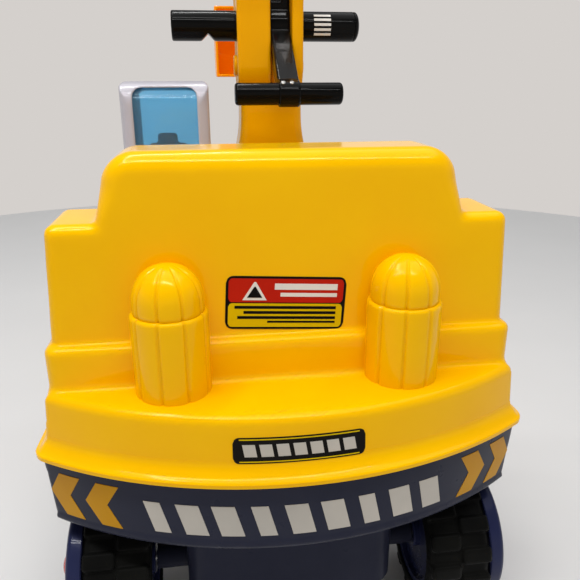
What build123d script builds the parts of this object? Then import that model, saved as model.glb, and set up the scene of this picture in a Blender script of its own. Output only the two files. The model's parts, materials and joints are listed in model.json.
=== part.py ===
"""Ride-on toy digger: wheeled chassis, swivelling house with seat, boom, T-lever linkage and bucket.

Millimetres, +Z up, wheels on z = 0. The digger faces -Y and its own left side is +X.
"""
import math
import os

from build123d import *

os.makedirs("parts", exist_ok=True)

# ---------------------------------------------------------------- driving dimensions
TAIL_Y = 208.0              # lip at the middle of the tail, behind the swivel axis
REACH = 445.7               # front of the raised bucket, ahead of the swivel axis
SWIVEL_Y = (REACH - TAIL_Y) / 2
FIT = 0.05                  # radial running clearance
GAP = 0.3                   # clearance between pieces that move past each other
WALL = 3.0                  # moulded wall thickness

# wheels and chassis
WHEEL_R = 55.0
AXLE_Y = 128.0              # axles stand this far in front of and behind the swivel axis
AXLE_R = 4.0
TYRE_IN = 100.0
TYRE_W = 47.0
TYRE_INNER_R = 41.0
TREAD_DEPTH = 4.0
LUG_COUNT = 15
DISC_X = 158.0              # outer face of the wheel disc
FLANGE_R = 50.5             # the disc's flange covers the tyre's outer wall
CAP_TIP = 170.0
CAP_R = 15.0
HUB_R = 12.0
DISH = 6.0                  # depth of the shallow dish on the wheel's inner face
CHASSIS_W = 152.0
CHASSIS_L = 330.0
CHASSIS_Z0 = 45.0
CHASSIS_Z1 = 100.0
PLATE_T = 3.0

# swivel
RING_IN = 50.0
RING_OUT = 70.0
PIN_R = 6.0

# house
TRAY_Z = 114.0
LIP_Z = 168.0               # underside of the cover's lip, on top of the tray
LIP_T = 4.0
FLARE_Z = 182.0             # the lip flares up to here, where the skirt starts
SHELF_Z = 211.0
STEP_Z = 240.0
SHOULDER_Z = 318.0
BACK_Z = 361.0
LIP_HALF = 170.0            # half width at the lip
LIP_CORNER_Y = 155.2        # where the lip's side meets the curved tail
BAND_INSET = 5.0            # the tray's top edge stands this far inside the lip
BAND_TAPER = 4.0            # and its foot this much further in
SKIRT_INSET = 9.0
SKIRT_TAPER = 2.0
WALL_Y = 138.0              # rear wall of the backrest and shoulders
TIER_Y = 146.0              # rear wall of the low tier under it
TIER_HALF = 158.0
SHOULDER_HALF = 149.5       # half width of the shoulders at their top
SHOULDER_FRONT_Y = 76.0
BACK_HALF = (146.0, 110.0)  # half width of the backrest at its foot and at its top
BACK_CORNER_R = 16.0
BACK_FRONT_Y = 80.0
SEAT_HALF = 84.0
SEAT_Z = 228.0
DOME_X = 76.5
DOME_Y = 150.0
DOME_R = 24.7
SLEEVE_Z = 266.0
DOME_Z = 296.0

# post, boom and levers, all on one plane a little to the right of the middle
ARM_X = -34.0               # middle of the boom's slot
SLOT_W = 22.0
BOOM_LEFT = 11.5
BOOM_RIGHT = -56.6
PIVOT_Y = -182.0
PIVOT_Z = 415.0
PIVOT_R = 29.0              # round foot of the boom
PIVOT_PIN_R = 5.0
TONGUE_R = 16.0             # round head of the post, between the boom halves
POST_TOP = PIVOT_Z - PIVOT_R - 0.5
BAR_Y = -188.0
BAR_Z = 454.5
BAR_R = 15.0
BAR_X0 = -122.0
BAR_X1 = 78.0
GRIP_Y = -101.0
GRIP_Z = 388.0
GRIP_R = 10.5
GRIP_LEN = 105.0
CRANK = (8.0, 40.0)         # lever hub to rod pin, and stick pivot to rod pin
STICK_Y = -360.0
STICK_Z = 592.0
STICK_ARM = (-30.0, -86.0)  # stick pivot to bucket pivot
EAR = (-36.0, -4.0)         # stick pivot to link pivot, and bucket pivot to link pivot
LINK_PIN_R = 3.0            # also the rod's pins
STICK_PIN_R = 4.0           # also the bucket's pivot
BUCKET_HALF = 52.0
BUCKET_X = -23.0

# cab
CAB_X0 = 43.0
CAB_X1 = 130.0
CAB_Y0 = -200.0
CAB_Y1 = -115.0
CAB_TOP = 400.0
WINDOW_Z = 339.0            # middle of the cab's windows
WINDOW_H = 110.0
GLASS_Z = 274.0             # lower edge of the glazing

# ---------------------------------------------------------------- derived places
PLAN = Plane(origin=(0, SWIVEL_Y, 0), x_dir=(1, 0, 0), z_dir=(0, 0, 1))
SIDE = Plane(origin=(0, SWIVEL_Y, 0), x_dir=(0, 1, 0), z_dir=(1, 0, 0))
REAR = Plane(origin=(0, SWIVEL_Y, 0), x_dir=(1, 0, 0), z_dir=(0, -1, 0))

SLOT_X0 = ARM_X - SLOT_W / 2
SLOT_X1 = ARM_X + SLOT_W / 2
ARM_W = SLOT_W - 2 * GAP - 0.4
LEVER_PIN = (BAR_Y + CRANK[0], BAR_Z + CRANK[1])
STICK_PIN = (STICK_Y + CRANK[0], STICK_Z + CRANK[1])
BUCKET_PIN = (STICK_Y + STICK_ARM[0], STICK_Z + STICK_ARM[1])
EAR_PIN = (STICK_Y + EAR[0], STICK_Z + EAR[1])
HORN_PIN = (BUCKET_PIN[0] + EAR[0], BUCKET_PIN[1] + EAR[1])
CHEEK_FIT = 0.3             # each boom half stands this far off the slot's arms
CORNERS = {"front_left": (1, -1), "front_right": (-1, -1), "rear_left": (1, 1), "rear_right": (-1, 1)}
CHASSIS_BOSSES = [(sx * 62, y) for sx in (-1, 1) for y in (-150, 0, 150)]
COVER_POSTS = [(sx * x, y) for sx in (-1, 1) for x, y in ((120, 132), (79, -20), (105, -160))]
BOOM_SCREWS = [(-166, 502), (-200, 562), (-262, 580)]
PIN_BORES = (
    (PIVOT_Y, PIVOT_Z, PIVOT_PIN_R),
    (BAR_Y, BAR_Z, BAR_R),
    (STICK_Y, STICK_Z, STICK_PIN_R),
    (EAR_PIN[0], EAR_PIN[1], LINK_PIN_R),
)
ARM_X0 = ARM_X - ARM_W / 2
ARM_X1 = ARM_X + ARM_W / 2
CRANK_X0 = ARM_X0           # crank plates lie on the slot's right side
CRANK_X1 = CRANK_X0 + 8
ROD_X0 = CRANK_X1 + GAP     # and the push rod runs beside them
ROD_X1 = ROD_X0 + 7
LINK_X0 = ARM_X - 4.0
LINK_X1 = ARM_X + 4.0


def keep(piece, name):
    """Label a finished piece and write its file."""
    piece.label = name
    export_step(piece, f"parts/{name}.step")


def cylinder_x(x0, x1, y, z, r, mode=Mode.ADD):
    """A round bar along X between x0 and x1, inside the current part."""
    with BuildSketch(SIDE.offset(x0)) as section:
        with Locations((y, z)):
            Circle(r)
    extrude(section.sketch, amount=x1 - x0, mode=mode)


def block(x0, x1, y0, y1, z0, z1, mode=Mode.ADD):
    """A box between two corners, measured from the swivel axis, inside the current part."""
    with BuildSketch(PLAN.offset(z0)) as section:
        with Locations(((x0 + x1) / 2, (y0 + y1) / 2)):
            Rectangle(x1 - x0, y1 - y0)
    extrude(section.sketch, amount=z1 - z0, mode=mode)


def house_plan(inset):
    """The house seen from above: curved tail, narrow waist beside the seat, wide front deck."""
    with BuildLine() as outline:
        ThreePointArc((LIP_HALF, LIP_CORNER_Y), (0, TAIL_Y), (-LIP_HALF, LIP_CORNER_Y))
        Polyline((-LIP_HALF, LIP_CORNER_Y), (-168, 74), (-100, 18), (-100, -76), (-142, -122), (-138, -188))
        ThreePointArc((-138, -188), (0, -214), (138, -188))
        Polyline((138, -188), (142, -122), (100, -76), (100, 18), (168, 74), (LIP_HALF, LIP_CORNER_Y))
    make_face(outline.edges())
    fillet(vertices().filter_by(lambda v: v.Y > 120), radius=15)
    fillet(vertices().filter_by(lambda v: v.Y < 100), radius=24)
    if inset:
        offset(amount=-inset, mode=Mode.REPLACE)


# ================================================================ chassis
def chassis_shell():
    with BuildPart() as shell:
        with BuildSketch(PLAN.offset(CHASSIS_Z0)):
            RectangleRounded(CHASSIS_W, CHASSIS_L, 14)
        extrude(amount=CHASSIS_Z1 - CHASSIS_Z0)
        fillet(shell.faces().sort_by(Axis.Z)[-1].edges(), radius=6)
        with BuildSketch(PLAN.offset(CHASSIS_Z0)):
            RectangleRounded(CHASSIS_W - 2 * WALL, CHASSIS_L - 2 * WALL, 11)
        extrude(amount=CHASSIS_Z1 - CHASSIS_Z0 - WALL, mode=Mode.SUBTRACT)
        half = CHASSIS_W / 2
        for y in (-AXLE_Y, AXLE_Y):
            block(-half + 1, half - 1, y - 11, y + 11, CHASSIS_Z0, 72)
        with BuildSketch(PLAN.offset(CHASSIS_Z0 + 18)):
            Circle(20)
            Rectangle(CHASSIS_W - 2, WALL)
            Rectangle(WALL, 2 * AXLE_Y)
        extrude(amount=CHASSIS_Z1 - CHASSIS_Z0 - 20)
        with BuildSketch(PLAN.offset(CHASSIS_Z0)):
            with Locations(*CHASSIS_BOSSES):
                Circle(5)
        extrude(amount=CHASSIS_Z1 - CHASSIS_Z0 - 2)
        with BuildSketch(PLAN.offset(CHASSIS_Z0)):
            with Locations(*CHASSIS_BOSSES):
                Circle(1.6)
        extrude(amount=16, mode=Mode.SUBTRACT)
        with BuildSketch(PLAN.offset(CHASSIS_Z0)):
            Circle(PIN_R + FIT)
        extrude(amount=CHASSIS_Z1, mode=Mode.SUBTRACT)
        for y in (-AXLE_Y, AXLE_Y):
            cylinder_x(-half - 5, half + 5, y, WHEEL_R, AXLE_R + FIT, mode=Mode.SUBTRACT)
    keep(shell.part, "chassis_shell")

    with BuildPart() as plate:
        with BuildSketch(PLAN.offset(CHASSIS_Z0 - PLATE_T)):
            RectangleRounded(CHASSIS_W - 3, CHASSIS_L - 3, 12)
        extrude(amount=PLATE_T)
        with BuildSketch(PLAN.offset(CHASSIS_Z0 - PLATE_T)):
            with Locations(*CHASSIS_BOSSES):
                Circle(2)
        extrude(amount=PLATE_T, mode=Mode.SUBTRACT)
        with BuildSketch(PLAN.offset(CHASSIS_Z0 - PLATE_T)):
            with Locations(*CHASSIS_BOSSES):
                Circle(4)
        extrude(amount=1.8, mode=Mode.SUBTRACT)
    keep(plate.part, "chassis_bottom_plate")

    with BuildPart() as screws:
        with BuildSketch(PLAN.offset(CHASSIS_Z0 - PLATE_T + 0.2)):
            with Locations(*CHASSIS_BOSSES):
                Circle(3.6)
        extrude(amount=1.6)
        with BuildSketch(PLAN.offset(CHASSIS_Z0 - PLATE_T + 1.8)):
            with Locations(*CHASSIS_BOSSES):
                Circle(1.55)
        extrude(amount=13)
    keep(screws.part, "chassis_plate_screws")


def axle(name, y):
    with BuildPart() as rod:
        cylinder_x(-163, 163, y, WHEEL_R, AXLE_R)
        chamfer(rod.edges().filter_by(GeomType.CIRCLE), length=0.8)
    keep(rod.part, name)


def axle_fittings():
    with BuildPart() as spacers:
        for side, end in CORNERS.values():
            low = min(side * (CHASSIS_W / 2), side * (TYRE_IN - GAP))
            high = max(side * (CHASSIS_W / 2), side * (TYRE_IN - GAP))
            cylinder_x(low, high, end * AXLE_Y, WHEEL_R, 9)
            cylinder_x(low, high, end * AXLE_Y, WHEEL_R, AXLE_R + FIT, mode=Mode.SUBTRACT)
    keep(spacers.part, "axle_spacers")

    with BuildPart() as nuts:
        for side, end in CORNERS.values():
            low = min(side * 158.6, side * 161)
            cylinder_x(low, low + 2.4, end * AXLE_Y, WHEEL_R, 8)
            cylinder_x(low, low + 2.4, end * AXLE_Y, WHEEL_R, AXLE_R, mode=Mode.SUBTRACT)
    keep(nuts.part, "axle_push_nuts")


def dome_arc(side, r, rise):
    """Half a dome's section on the wheel's outer face, from its rim of radius r to its tip."""
    ball = (r * r + rise * rise) / (2 * rise)
    half_way = math.asin(r / ball) / 2
    middle = (DISC_X + rise - ball + ball * math.cos(half_way), ball * math.sin(half_way))
    ThreePointArc((side * DISC_X, r), (side * middle[0], middle[1]), (side * (DISC_X + rise), 0))


def wheel(corner, side, end):
    """Tyre with two staggered rows of lugs, moulded disc with its hub, and a domed hub cap."""
    centre = (0, SWIVEL_Y + end * AXLE_Y, WHEEL_R)
    section = Plane(origin=centre, x_dir=(1, 0, 0), z_dir=(0, -1, 0))
    axis = Axis(centre, (1, 0, 0))
    tyre_out = TYRE_IN + TYRE_W
    base_r = WHEEL_R - TREAD_DEPTH
    half_lug = math.pi * WHEEL_R / LUG_COUNT / 2

    with BuildPart() as tyre:
        with BuildSketch(section):
            with BuildLine():
                Polyline(
                    (side * TYRE_IN, TYRE_INNER_R),
                    (side * TYRE_IN, base_r - 5),
                    (side * (TYRE_IN + 4), base_r),
                    (side * (tyre_out - 4), base_r),
                    (side * tyre_out, base_r - 5),
                    (side * tyre_out, TYRE_INNER_R),
                    close=True,
                )
            make_face()
        revolve(axis=axis)
        lug_w = TYRE_W / 2 - 2
        for row in (0, 1):
            inner = TYRE_IN + 1.5 + row * (lug_w + 1)
            low = min(side * inner, side * (inner + lug_w))
            turn = row * 180 / LUG_COUNT
            spokes = Plane(origin=(low, centre[1], WHEEL_R), x_dir=(0, 1, 0), z_dir=(1, 0, 0))
            with BuildSketch(spokes):
                with PolarLocations(base_r, LUG_COUNT, start_angle=-90 + turn):
                    Rectangle(2 * TREAD_DEPTH, 2 * half_lug)
                Circle(WHEEL_R, mode=Mode.INTERSECT)
                Circle(base_r - 2, mode=Mode.SUBTRACT)
            extrude(amount=lug_w)
    keep(tyre.part, f"tyre_{corner}")

    with BuildPart() as disc:
        with BuildSketch(section):
            with BuildLine():
                Polyline(
                    (side * TYRE_IN, AXLE_R + FIT),
                    (side * TYRE_IN, HUB_R),
                    (side * (TYRE_IN + DISH), HUB_R),
                    (side * (TYRE_IN + DISH), TYRE_INNER_R - 4),
                    (side * (TYRE_IN + 2), TYRE_INNER_R - 4),
                    (side * (TYRE_IN + 2), TYRE_INNER_R),
                    (side * tyre_out, TYRE_INNER_R),
                    (side * tyre_out, FLANGE_R),
                    (side * (DISC_X - 4), FLANGE_R),
                    (side * DISC_X, FLANGE_R - 5),
                    (side * DISC_X, 11.5),
                    (side * (DISC_X - 2), 9),
                    (side * (DISC_X - 2), AXLE_R + FIT),
                    close=True,
                )
            make_face()
        revolve(axis=axis)
    keep(disc.part, f"wheel_disc_{corner}")

    with BuildPart() as cap:
        with BuildSketch(section):
            with BuildLine():
                Line((side * DISC_X, CAP_R - WALL), (side * DISC_X, CAP_R))
                dome_arc(side, CAP_R, CAP_TIP - DISC_X)
                Line((side * CAP_TIP, 0), (side * (CAP_TIP - WALL), 0))
                dome_arc(side, CAP_R - WALL, CAP_TIP - WALL - DISC_X)
            make_face()
        revolve(axis=axis)
    keep(cap.part, f"hub_cap_{corner}")


# ================================================================ swivel
def ring(name, r0, r1, z0, z1):
    with BuildPart() as annulus:
        with BuildSketch(PLAN.offset(z0)):
            Circle(r1)
            Circle(r0, mode=Mode.SUBTRACT)
        extrude(amount=z1 - z0)
    keep(annulus.part, name)


def swivel_fittings():
    ring("turntable_lower_ring", RING_IN, RING_OUT, CHASSIS_Z1, CHASSIS_Z1 + 6)
    ring("turntable_wear_ring", RING_IN + 2, RING_OUT - 2, CHASSIS_Z1 + 6, CHASSIS_Z1 + 9 - GAP)
    ring("turntable_upper_ring", RING_IN, RING_OUT, CHASSIS_Z1 + 9, TRAY_Z)
    ring("swivel_bush", PIN_R + FIT, 9, TRAY_Z - 2, TRAY_Z + 9)
    ring("kingpin_washer", PIN_R + 0.2, 13, TRAY_Z + 9 + GAP, TRAY_Z + 11)
    with BuildPart() as nut:
        with BuildSketch(PLAN.offset(TRAY_Z + 11)):
            RegularPolygon(radius=11, side_count=6)
            Circle(PIN_R, mode=Mode.SUBTRACT)
        extrude(amount=8)
    keep(nut.part, "kingpin_nut")
    with BuildPart() as pin:
        with BuildSketch(PLAN.offset(CHASSIS_Z0 + 12)):
            RegularPolygon(radius=11, side_count=6)
        extrude(amount=6)
        with BuildSketch(PLAN.offset(CHASSIS_Z0 + 18)):
            Circle(PIN_R)
        extrude(amount=TRAY_Z + 23 - CHASSIS_Z0 - 18)
    keep(pin.part, "swivel_kingpin")


# ================================================================ house
def lower_tray():
    """The blue-grey band under the cover: open on top, its sides drawn in towards the floor."""
    with BuildPart() as tray:
        with BuildSketch(PLAN.offset(TRAY_Z)):
            house_plan(BAND_INSET + BAND_TAPER)
        with BuildSketch(PLAN.offset(LIP_Z)):
            house_plan(BAND_INSET)
        loft(ruled=True)
        with BuildSketch(PLAN.offset(TRAY_Z + WALL)):
            house_plan(BAND_INSET + BAND_TAPER + WALL)
        with BuildSketch(PLAN.offset(LIP_Z)):
            house_plan(BAND_INSET + WALL)
        loft(ruled=True, mode=Mode.SUBTRACT)
        with BuildSketch(PLAN.offset(TRAY_Z + 1)):
            Circle(18)
        extrude(amount=8)
        with BuildSketch(PLAN.offset(TRAY_Z - 1)):
            Circle(9)
        extrude(amount=20, mode=Mode.SUBTRACT)
        with BuildSketch(PLAN.offset(TRAY_Z)):
            with Locations(*COVER_POSTS):
                Circle(2.2)
        extrude(amount=WALL, mode=Mode.SUBTRACT)
    keep(tray.part, "lower_tray")


def wall_block(inset):
    """Low tier, shoulders and backrest as one closed form, drawn in by a wall's thickness for the hollow."""
    with BuildPart() as form:
        front = BACK_FRONT_Y + inset
        block(inset - TIER_HALF, TIER_HALF - inset, front, TIER_Y - inset, FLARE_Z, STEP_Z - inset)
        with BuildSketch(REAR.offset(-(WALL_Y - inset))):
            with BuildLine():
                Polyline(
                    (inset - TIER_HALF, FLARE_Z),
                    (inset - SHOULDER_HALF, SHOULDER_Z - inset),
                    (SHOULDER_HALF - inset, SHOULDER_Z - inset),
                    (TIER_HALF - inset, FLARE_Z),
                    close=True,
                )
            make_face()
            fillet(vertices().group_by(Axis.Y)[-1], radius=8)
        extrude(amount=WALL_Y - SHOULDER_FRONT_Y - 2 * inset)
        with BuildSketch(REAR.offset(-(WALL_Y - inset))):
            with BuildLine():
                Polyline(
                    (inset - BACK_HALF[0], FLARE_Z),
                    (inset - BACK_HALF[1], BACK_Z - inset),
                    (BACK_HALF[1] - inset, BACK_Z - inset),
                    (BACK_HALF[0] - inset, FLARE_Z),
                    close=True,
                )
            make_face()
            fillet(vertices().group_by(Axis.Y)[-1], radius=BACK_CORNER_R)
        extrude(amount=WALL_Y - BACK_FRONT_Y - 2 * inset)
    return form.part


def staved_dome(x):
    """A round staved sleeve with a ribbed dome on top, half sunk into the rear wall."""
    with BuildPart() as dome:
        with BuildSketch(PLAN.offset(SHELF_Z - 6)):
            with Locations((x, DOME_Y)):
                Circle(DOME_R)
        extrude(amount=SLEEVE_Z - SHELF_Z + 6)
        fillet(dome.faces().sort_by(Axis.Z)[-1].edges(), radius=1.5)
        cap_r = DOME_R - 2
        section = Plane(origin=(x, SWIVEL_Y + DOME_Y, 0), x_dir=(1, 0, 0), z_dir=(0, -1, 0))
        with BuildSketch(section):
            with BuildLine():
                Polyline((0, DOME_Z), (0, SLEEVE_Z - 2), (cap_r, SLEEVE_Z - 2), (cap_r, DOME_Z - cap_r))
                RadiusArc((cap_r, DOME_Z - cap_r), (0, DOME_Z), -cap_r)
            make_face()
        revolve(axis=Axis((x, SWIVEL_Y + DOME_Y, 0), (0, 0, 1)))
        for step in range(12):
            angle = math.radians(15 + 30 * step)
            groove = Plane(
                origin=(x, SWIVEL_Y + DOME_Y, SHELF_Z + 1),
                x_dir=(-math.sin(angle), math.cos(angle), 0),
                z_dir=(0, 0, 1),
            )
            with BuildSketch(groove):
                with Locations((0, -DOME_R)):
                    Rectangle(1.6, 2.4)
            extrude(amount=SLEEVE_Z - SHELF_Z, mode=Mode.SUBTRACT)
    return dome.part


def upper_cover():
    """The yellow cover: lip, skirt, shelf, tail block with staved domes, seat and front deck."""
    outer = wall_block(0)
    inner = wall_block(WALL)
    domes = [staved_dome(x) for x in (-DOME_X, DOME_X)]
    with BuildPart() as skirt:
        with BuildSketch(PLAN.offset(LIP_Z)):
            house_plan(0)
        extrude(amount=LIP_T)
        with BuildSketch(PLAN.offset(LIP_Z + LIP_T)):
            house_plan(2)
        with BuildSketch(PLAN.offset(FLARE_Z)):
            house_plan(SKIRT_INSET)
        loft(ruled=True)
        with BuildSketch(PLAN.offset(FLARE_Z)):
            house_plan(SKIRT_INSET)
        with BuildSketch(PLAN.offset(SHELF_Z)):
            house_plan(SKIRT_INSET + SKIRT_TAPER)
        loft(ruled=True)
        fillet(skirt.faces().sort_by(Axis.Z)[-1].edges(), radius=5)
    with BuildPart() as seat:
        with BuildSketch(PLAN.offset(SHELF_Z - 2)):
            with Locations((0, 4)):
                RectangleRounded(2 * SEAT_HALF, 178, 30)
        extrude(amount=SEAT_Z + 8 - SHELF_Z)
        cylinder_x(-SEAT_HALF - 5, SEAT_HALF + 5, 12, SEAT_Z + 250, 250, mode=Mode.SUBTRACT)
    with BuildPart() as cover:
        add(skirt.part)
        add(outer)
        add(seat.part)
        for dome in domes:
            add(dome)
        with BuildSketch(PLAN.offset(LIP_Z)):
            house_plan(SKIRT_INSET + WALL)
        with BuildSketch(PLAN.offset(SHELF_Z - WALL)):
            house_plan(SKIRT_INSET + SKIRT_TAPER + WALL)
        loft(ruled=True, mode=Mode.SUBTRACT)
        add(inner, mode=Mode.SUBTRACT)
        with BuildSketch(PLAN.offset(TRAY_Z + WALL)):
            with Locations(*COVER_POSTS):
                Circle(5)
        extrude(amount=SHELF_Z - 1 - TRAY_Z - WALL)
        with BuildSketch(PLAN.offset(SHELF_Z - 2)):
            with Locations(*[(x, y) for x, y in COVER_POSTS if y > 0]):
                Circle(5)
        extrude(amount=STEP_Z + 12 - SHELF_Z)
        with BuildSketch(PLAN.offset(TRAY_Z + WALL)):
            with Locations(*COVER_POSTS):
                Circle(1.8)
        extrude(amount=26, mode=Mode.SUBTRACT)
    keep(cover.part, "upper_cover")

    with BuildPart() as screws:
        with BuildSketch(PLAN.offset(TRAY_Z - 1.8)):
            with Locations(*COVER_POSTS):
                Circle(4)
        extrude(amount=1.8)
        with BuildSketch(PLAN.offset(TRAY_Z)):
            with Locations(*COVER_POSTS):
                Circle(1.75)
        extrude(amount=24)
    keep(screws.part, "cover_screws")


def boom_post():
    """Hollow post on the front deck, with a round tongue on top that the boom straddles."""
    with BuildPart() as post:
        with BuildSketch(PLAN.offset(SHELF_Z)):
            with Locations(((BOOM_LEFT + BOOM_RIGHT) / 2, -179)):
                RectangleRounded(100, 68, 8)
        with BuildSketch(PLAN.offset(SHELF_Z + 90)):
            with Locations(((BOOM_LEFT + BOOM_RIGHT) / 2, -180)):
                RectangleRounded(84, 60, 8)
        with BuildSketch(PLAN.offset(POST_TOP)):
            with Locations(((BOOM_LEFT + BOOM_RIGHT) / 2, -180)):
                RectangleRounded(64, 56, 8)
        loft(ruled=True)
        with BuildSketch(PLAN.offset(SHELF_Z)):
            with Locations(((BOOM_LEFT + BOOM_RIGHT) / 2, -179)):
                RectangleRounded(94, 62, 6)
        with BuildSketch(PLAN.offset(SHELF_Z + 90)):
            with Locations(((BOOM_LEFT + BOOM_RIGHT) / 2, -180)):
                RectangleRounded(78, 54, 6)
        with BuildSketch(PLAN.offset(POST_TOP - 4)):
            with Locations(((BOOM_LEFT + BOOM_RIGHT) / 2, -180)):
                RectangleRounded(58, 50, 6)
        loft(ruled=True, mode=Mode.SUBTRACT)
        cylinder_x(ARM_X0, ARM_X1, PIVOT_Y, PIVOT_Z, TONGUE_R)
        block(ARM_X0, ARM_X1, PIVOT_Y - TONGUE_R, PIVOT_Y + TONGUE_R, POST_TOP - 2, PIVOT_Z)
        cylinder_x(ARM_X0 - 1, ARM_X1 + 1, PIVOT_Y, PIVOT_Z, PIVOT_PIN_R + FIT, mode=Mode.SUBTRACT)
    keep(post.part, "boom_post")


# ================================================================ cab
def cab():
    mid_x = (CAB_X0 + CAB_X1) / 2
    mid_y = (CAB_Y0 + CAB_Y1) / 2
    wide = CAB_X1 - CAB_X0
    deep = CAB_Y1 - CAB_Y0
    with BuildPart() as frame:
        with BuildSketch(PLAN.offset(SHELF_Z)):
            with Locations((mid_x, mid_y)):
                RectangleRounded(wide, deep, 10)
        extrude(amount=CAB_TOP - SHELF_Z)
        fillet(frame.faces().sort_by(Axis.Z)[-1].edges(), radius=9)
        with BuildSketch(PLAN.offset(SHELF_Z)):
            with Locations((mid_x, mid_y)):
                RectangleRounded(wide - 2 * WALL, deep - 2 * WALL, 7)
        extrude(amount=CAB_TOP - SHELF_Z - WALL, mode=Mode.SUBTRACT)
        with BuildSketch(REAR.offset(-CAB_Y1 - 5)):
            with Locations((mid_x, WINDOW_Z)):
                RectangleRounded(wide - 22, WINDOW_H, 9)
        extrude(amount=deep + 10, mode=Mode.SUBTRACT)
        with BuildSketch(SIDE.offset(CAB_X0 - 5)):
            with Locations((mid_y, WINDOW_Z)):
                RectangleRounded(deep - 22, WINDOW_H, 9)
        extrude(amount=wide + 10, mode=Mode.SUBTRACT)
    keep(frame.part, "cab_frame")

    with BuildPart() as glazing:
        with BuildSketch(PLAN.offset(GLASS_Z)):
            with Locations((mid_x, mid_y)):
                RectangleRounded(wide - 2 * WALL, deep - 2 * WALL, 7)
        extrude(amount=CAB_TOP - WALL - GLASS_Z)
        with BuildSketch(PLAN.offset(GLASS_Z)):
            with Locations((mid_x, mid_y)):
                RectangleRounded(wide - 2 * WALL - 4, deep - 2 * WALL - 4, 5)
        extrude(amount=CAB_TOP - WALL - 2 - GLASS_Z, mode=Mode.SUBTRACT)
    keep(glazing.part, "cab_glazing")

    with BuildPart() as seat:
        block(mid_x - 22, mid_x + 22, mid_y - 20, mid_y + 24, SHELF_Z, 296)
        block(mid_x - 20, mid_x + 20, mid_y + 14, mid_y + 24, 296, 340)
        block(mid_x - 10, mid_x + 10, mid_y + 15, mid_y + 23, 340, 350)
        fillet(seat.edges().filter_by(Axis.X).group_by(Axis.Z)[-1], radius=2)
    keep(seat.part, "cab_seat")


# ================================================================ boom
def boom_outline(inset=0):
    """Side outline of the boom: round foot, upright, bend and forward tip with a link ear."""
    tip_y, tip_z = STICK_Y, STICK_Z
    foot = PIVOT_R
    with BuildLine() as outline:
        ThreePointArc((PIVOT_Y - foot, PIVOT_Z), (PIVOT_Y, PIVOT_Z - foot), (PIVOT_Y + foot, PIVOT_Z))
        Polyline(
            (PIVOT_Y + foot, PIVOT_Z),
            (PIVOT_Y + foot, 522),
            (-206, 596),
            (tip_y, tip_z + 22),
            (EAR_PIN[0] - 4, EAR_PIN[1] + 11),
            (EAR_PIN[0] - 11, EAR_PIN[1]),
            (EAR_PIN[0] - 4, EAR_PIN[1] - 11),
            (tip_y, tip_z - 22),
            (-258, 520),
            (PIVOT_Y - foot, 462),
            (PIVOT_Y - foot, PIVOT_Z),
        )
    make_face(outline.edges())
    fillet(vertices().filter_by(lambda v: 450 < v.Y < 620 and v.X > -300), radius=30)
    fillet(vertices().filter_by(lambda v: v.X < -340), radius=7)
    if inset:
        offset(amount=-inset, mode=Mode.REPLACE)


def boom_halves():
    left_in = SLOT_X1 + CHEEK_FIT
    right_in = SLOT_X0 - CHEEK_FIT
    with BuildSketch() as hollow:
        boom_outline(WALL)
    with BuildPart() as left:
        with BuildSketch(SIDE.offset(left_in)):
            boom_outline()
        extrude(amount=BOOM_LEFT - left_in)
        fillet(left.faces().sort_by(Axis.X)[-1].edges(), radius=2.5)
        with BuildSketch(SIDE.offset(left_in)):
            add(hollow.sketch_local)
        extrude(amount=BOOM_LEFT - left_in - WALL, mode=Mode.SUBTRACT)
        for y, z, r in PIN_BORES:
            cylinder_x(left_in, BOOM_LEFT - 1, y, z, r + 4)
        for y, z in BOOM_SCREWS:
            cylinder_x(left_in, BOOM_LEFT - 1, y, z, 4)
        for y, z, r in PIN_BORES:
            cylinder_x(left_in - 1, BOOM_LEFT + 1, y, z, r, mode=Mode.SUBTRACT)
        for y, z in BOOM_SCREWS:
            cylinder_x(left_in - 1, left_in + 14, y, z, 1.6, mode=Mode.SUBTRACT)
    keep(left.part, "boom_left_half")

    with BuildPart() as right:
        with BuildSketch(SIDE.offset(BOOM_RIGHT)):
            boom_outline()
        extrude(amount=right_in - BOOM_RIGHT)
        fillet(right.faces().sort_by(Axis.X)[0].edges(), radius=2.5)
        with BuildSketch(SIDE.offset(right_in)):
            boom_outline()
            add(hollow.sketch_local, mode=Mode.SUBTRACT)
            with BuildLine():
                Polyline((-240, 442), (-200, 442), (-200, 470), (-250, 530), (-322, 572), (-322, 530), close=True)
            make_face(mode=Mode.INTERSECT)
        extrude(amount=left_in - right_in)
        for y, z in BOOM_SCREWS:
            cylinder_x(right_in - 1, left_in, y, z, 4)
        for y, z, r in PIN_BORES:
            cylinder_x(BOOM_RIGHT - 1, right_in + 1, y, z, r, mode=Mode.SUBTRACT)
        for y, z in BOOM_SCREWS:
            cylinder_x(BOOM_RIGHT - 1, left_in + 1, y, z, 1.9, mode=Mode.SUBTRACT)
            cylinder_x(BOOM_RIGHT - 1, BOOM_RIGHT + 4, y, z, 3.6, mode=Mode.SUBTRACT)
    keep(right.part, "boom_right_half")


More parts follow.
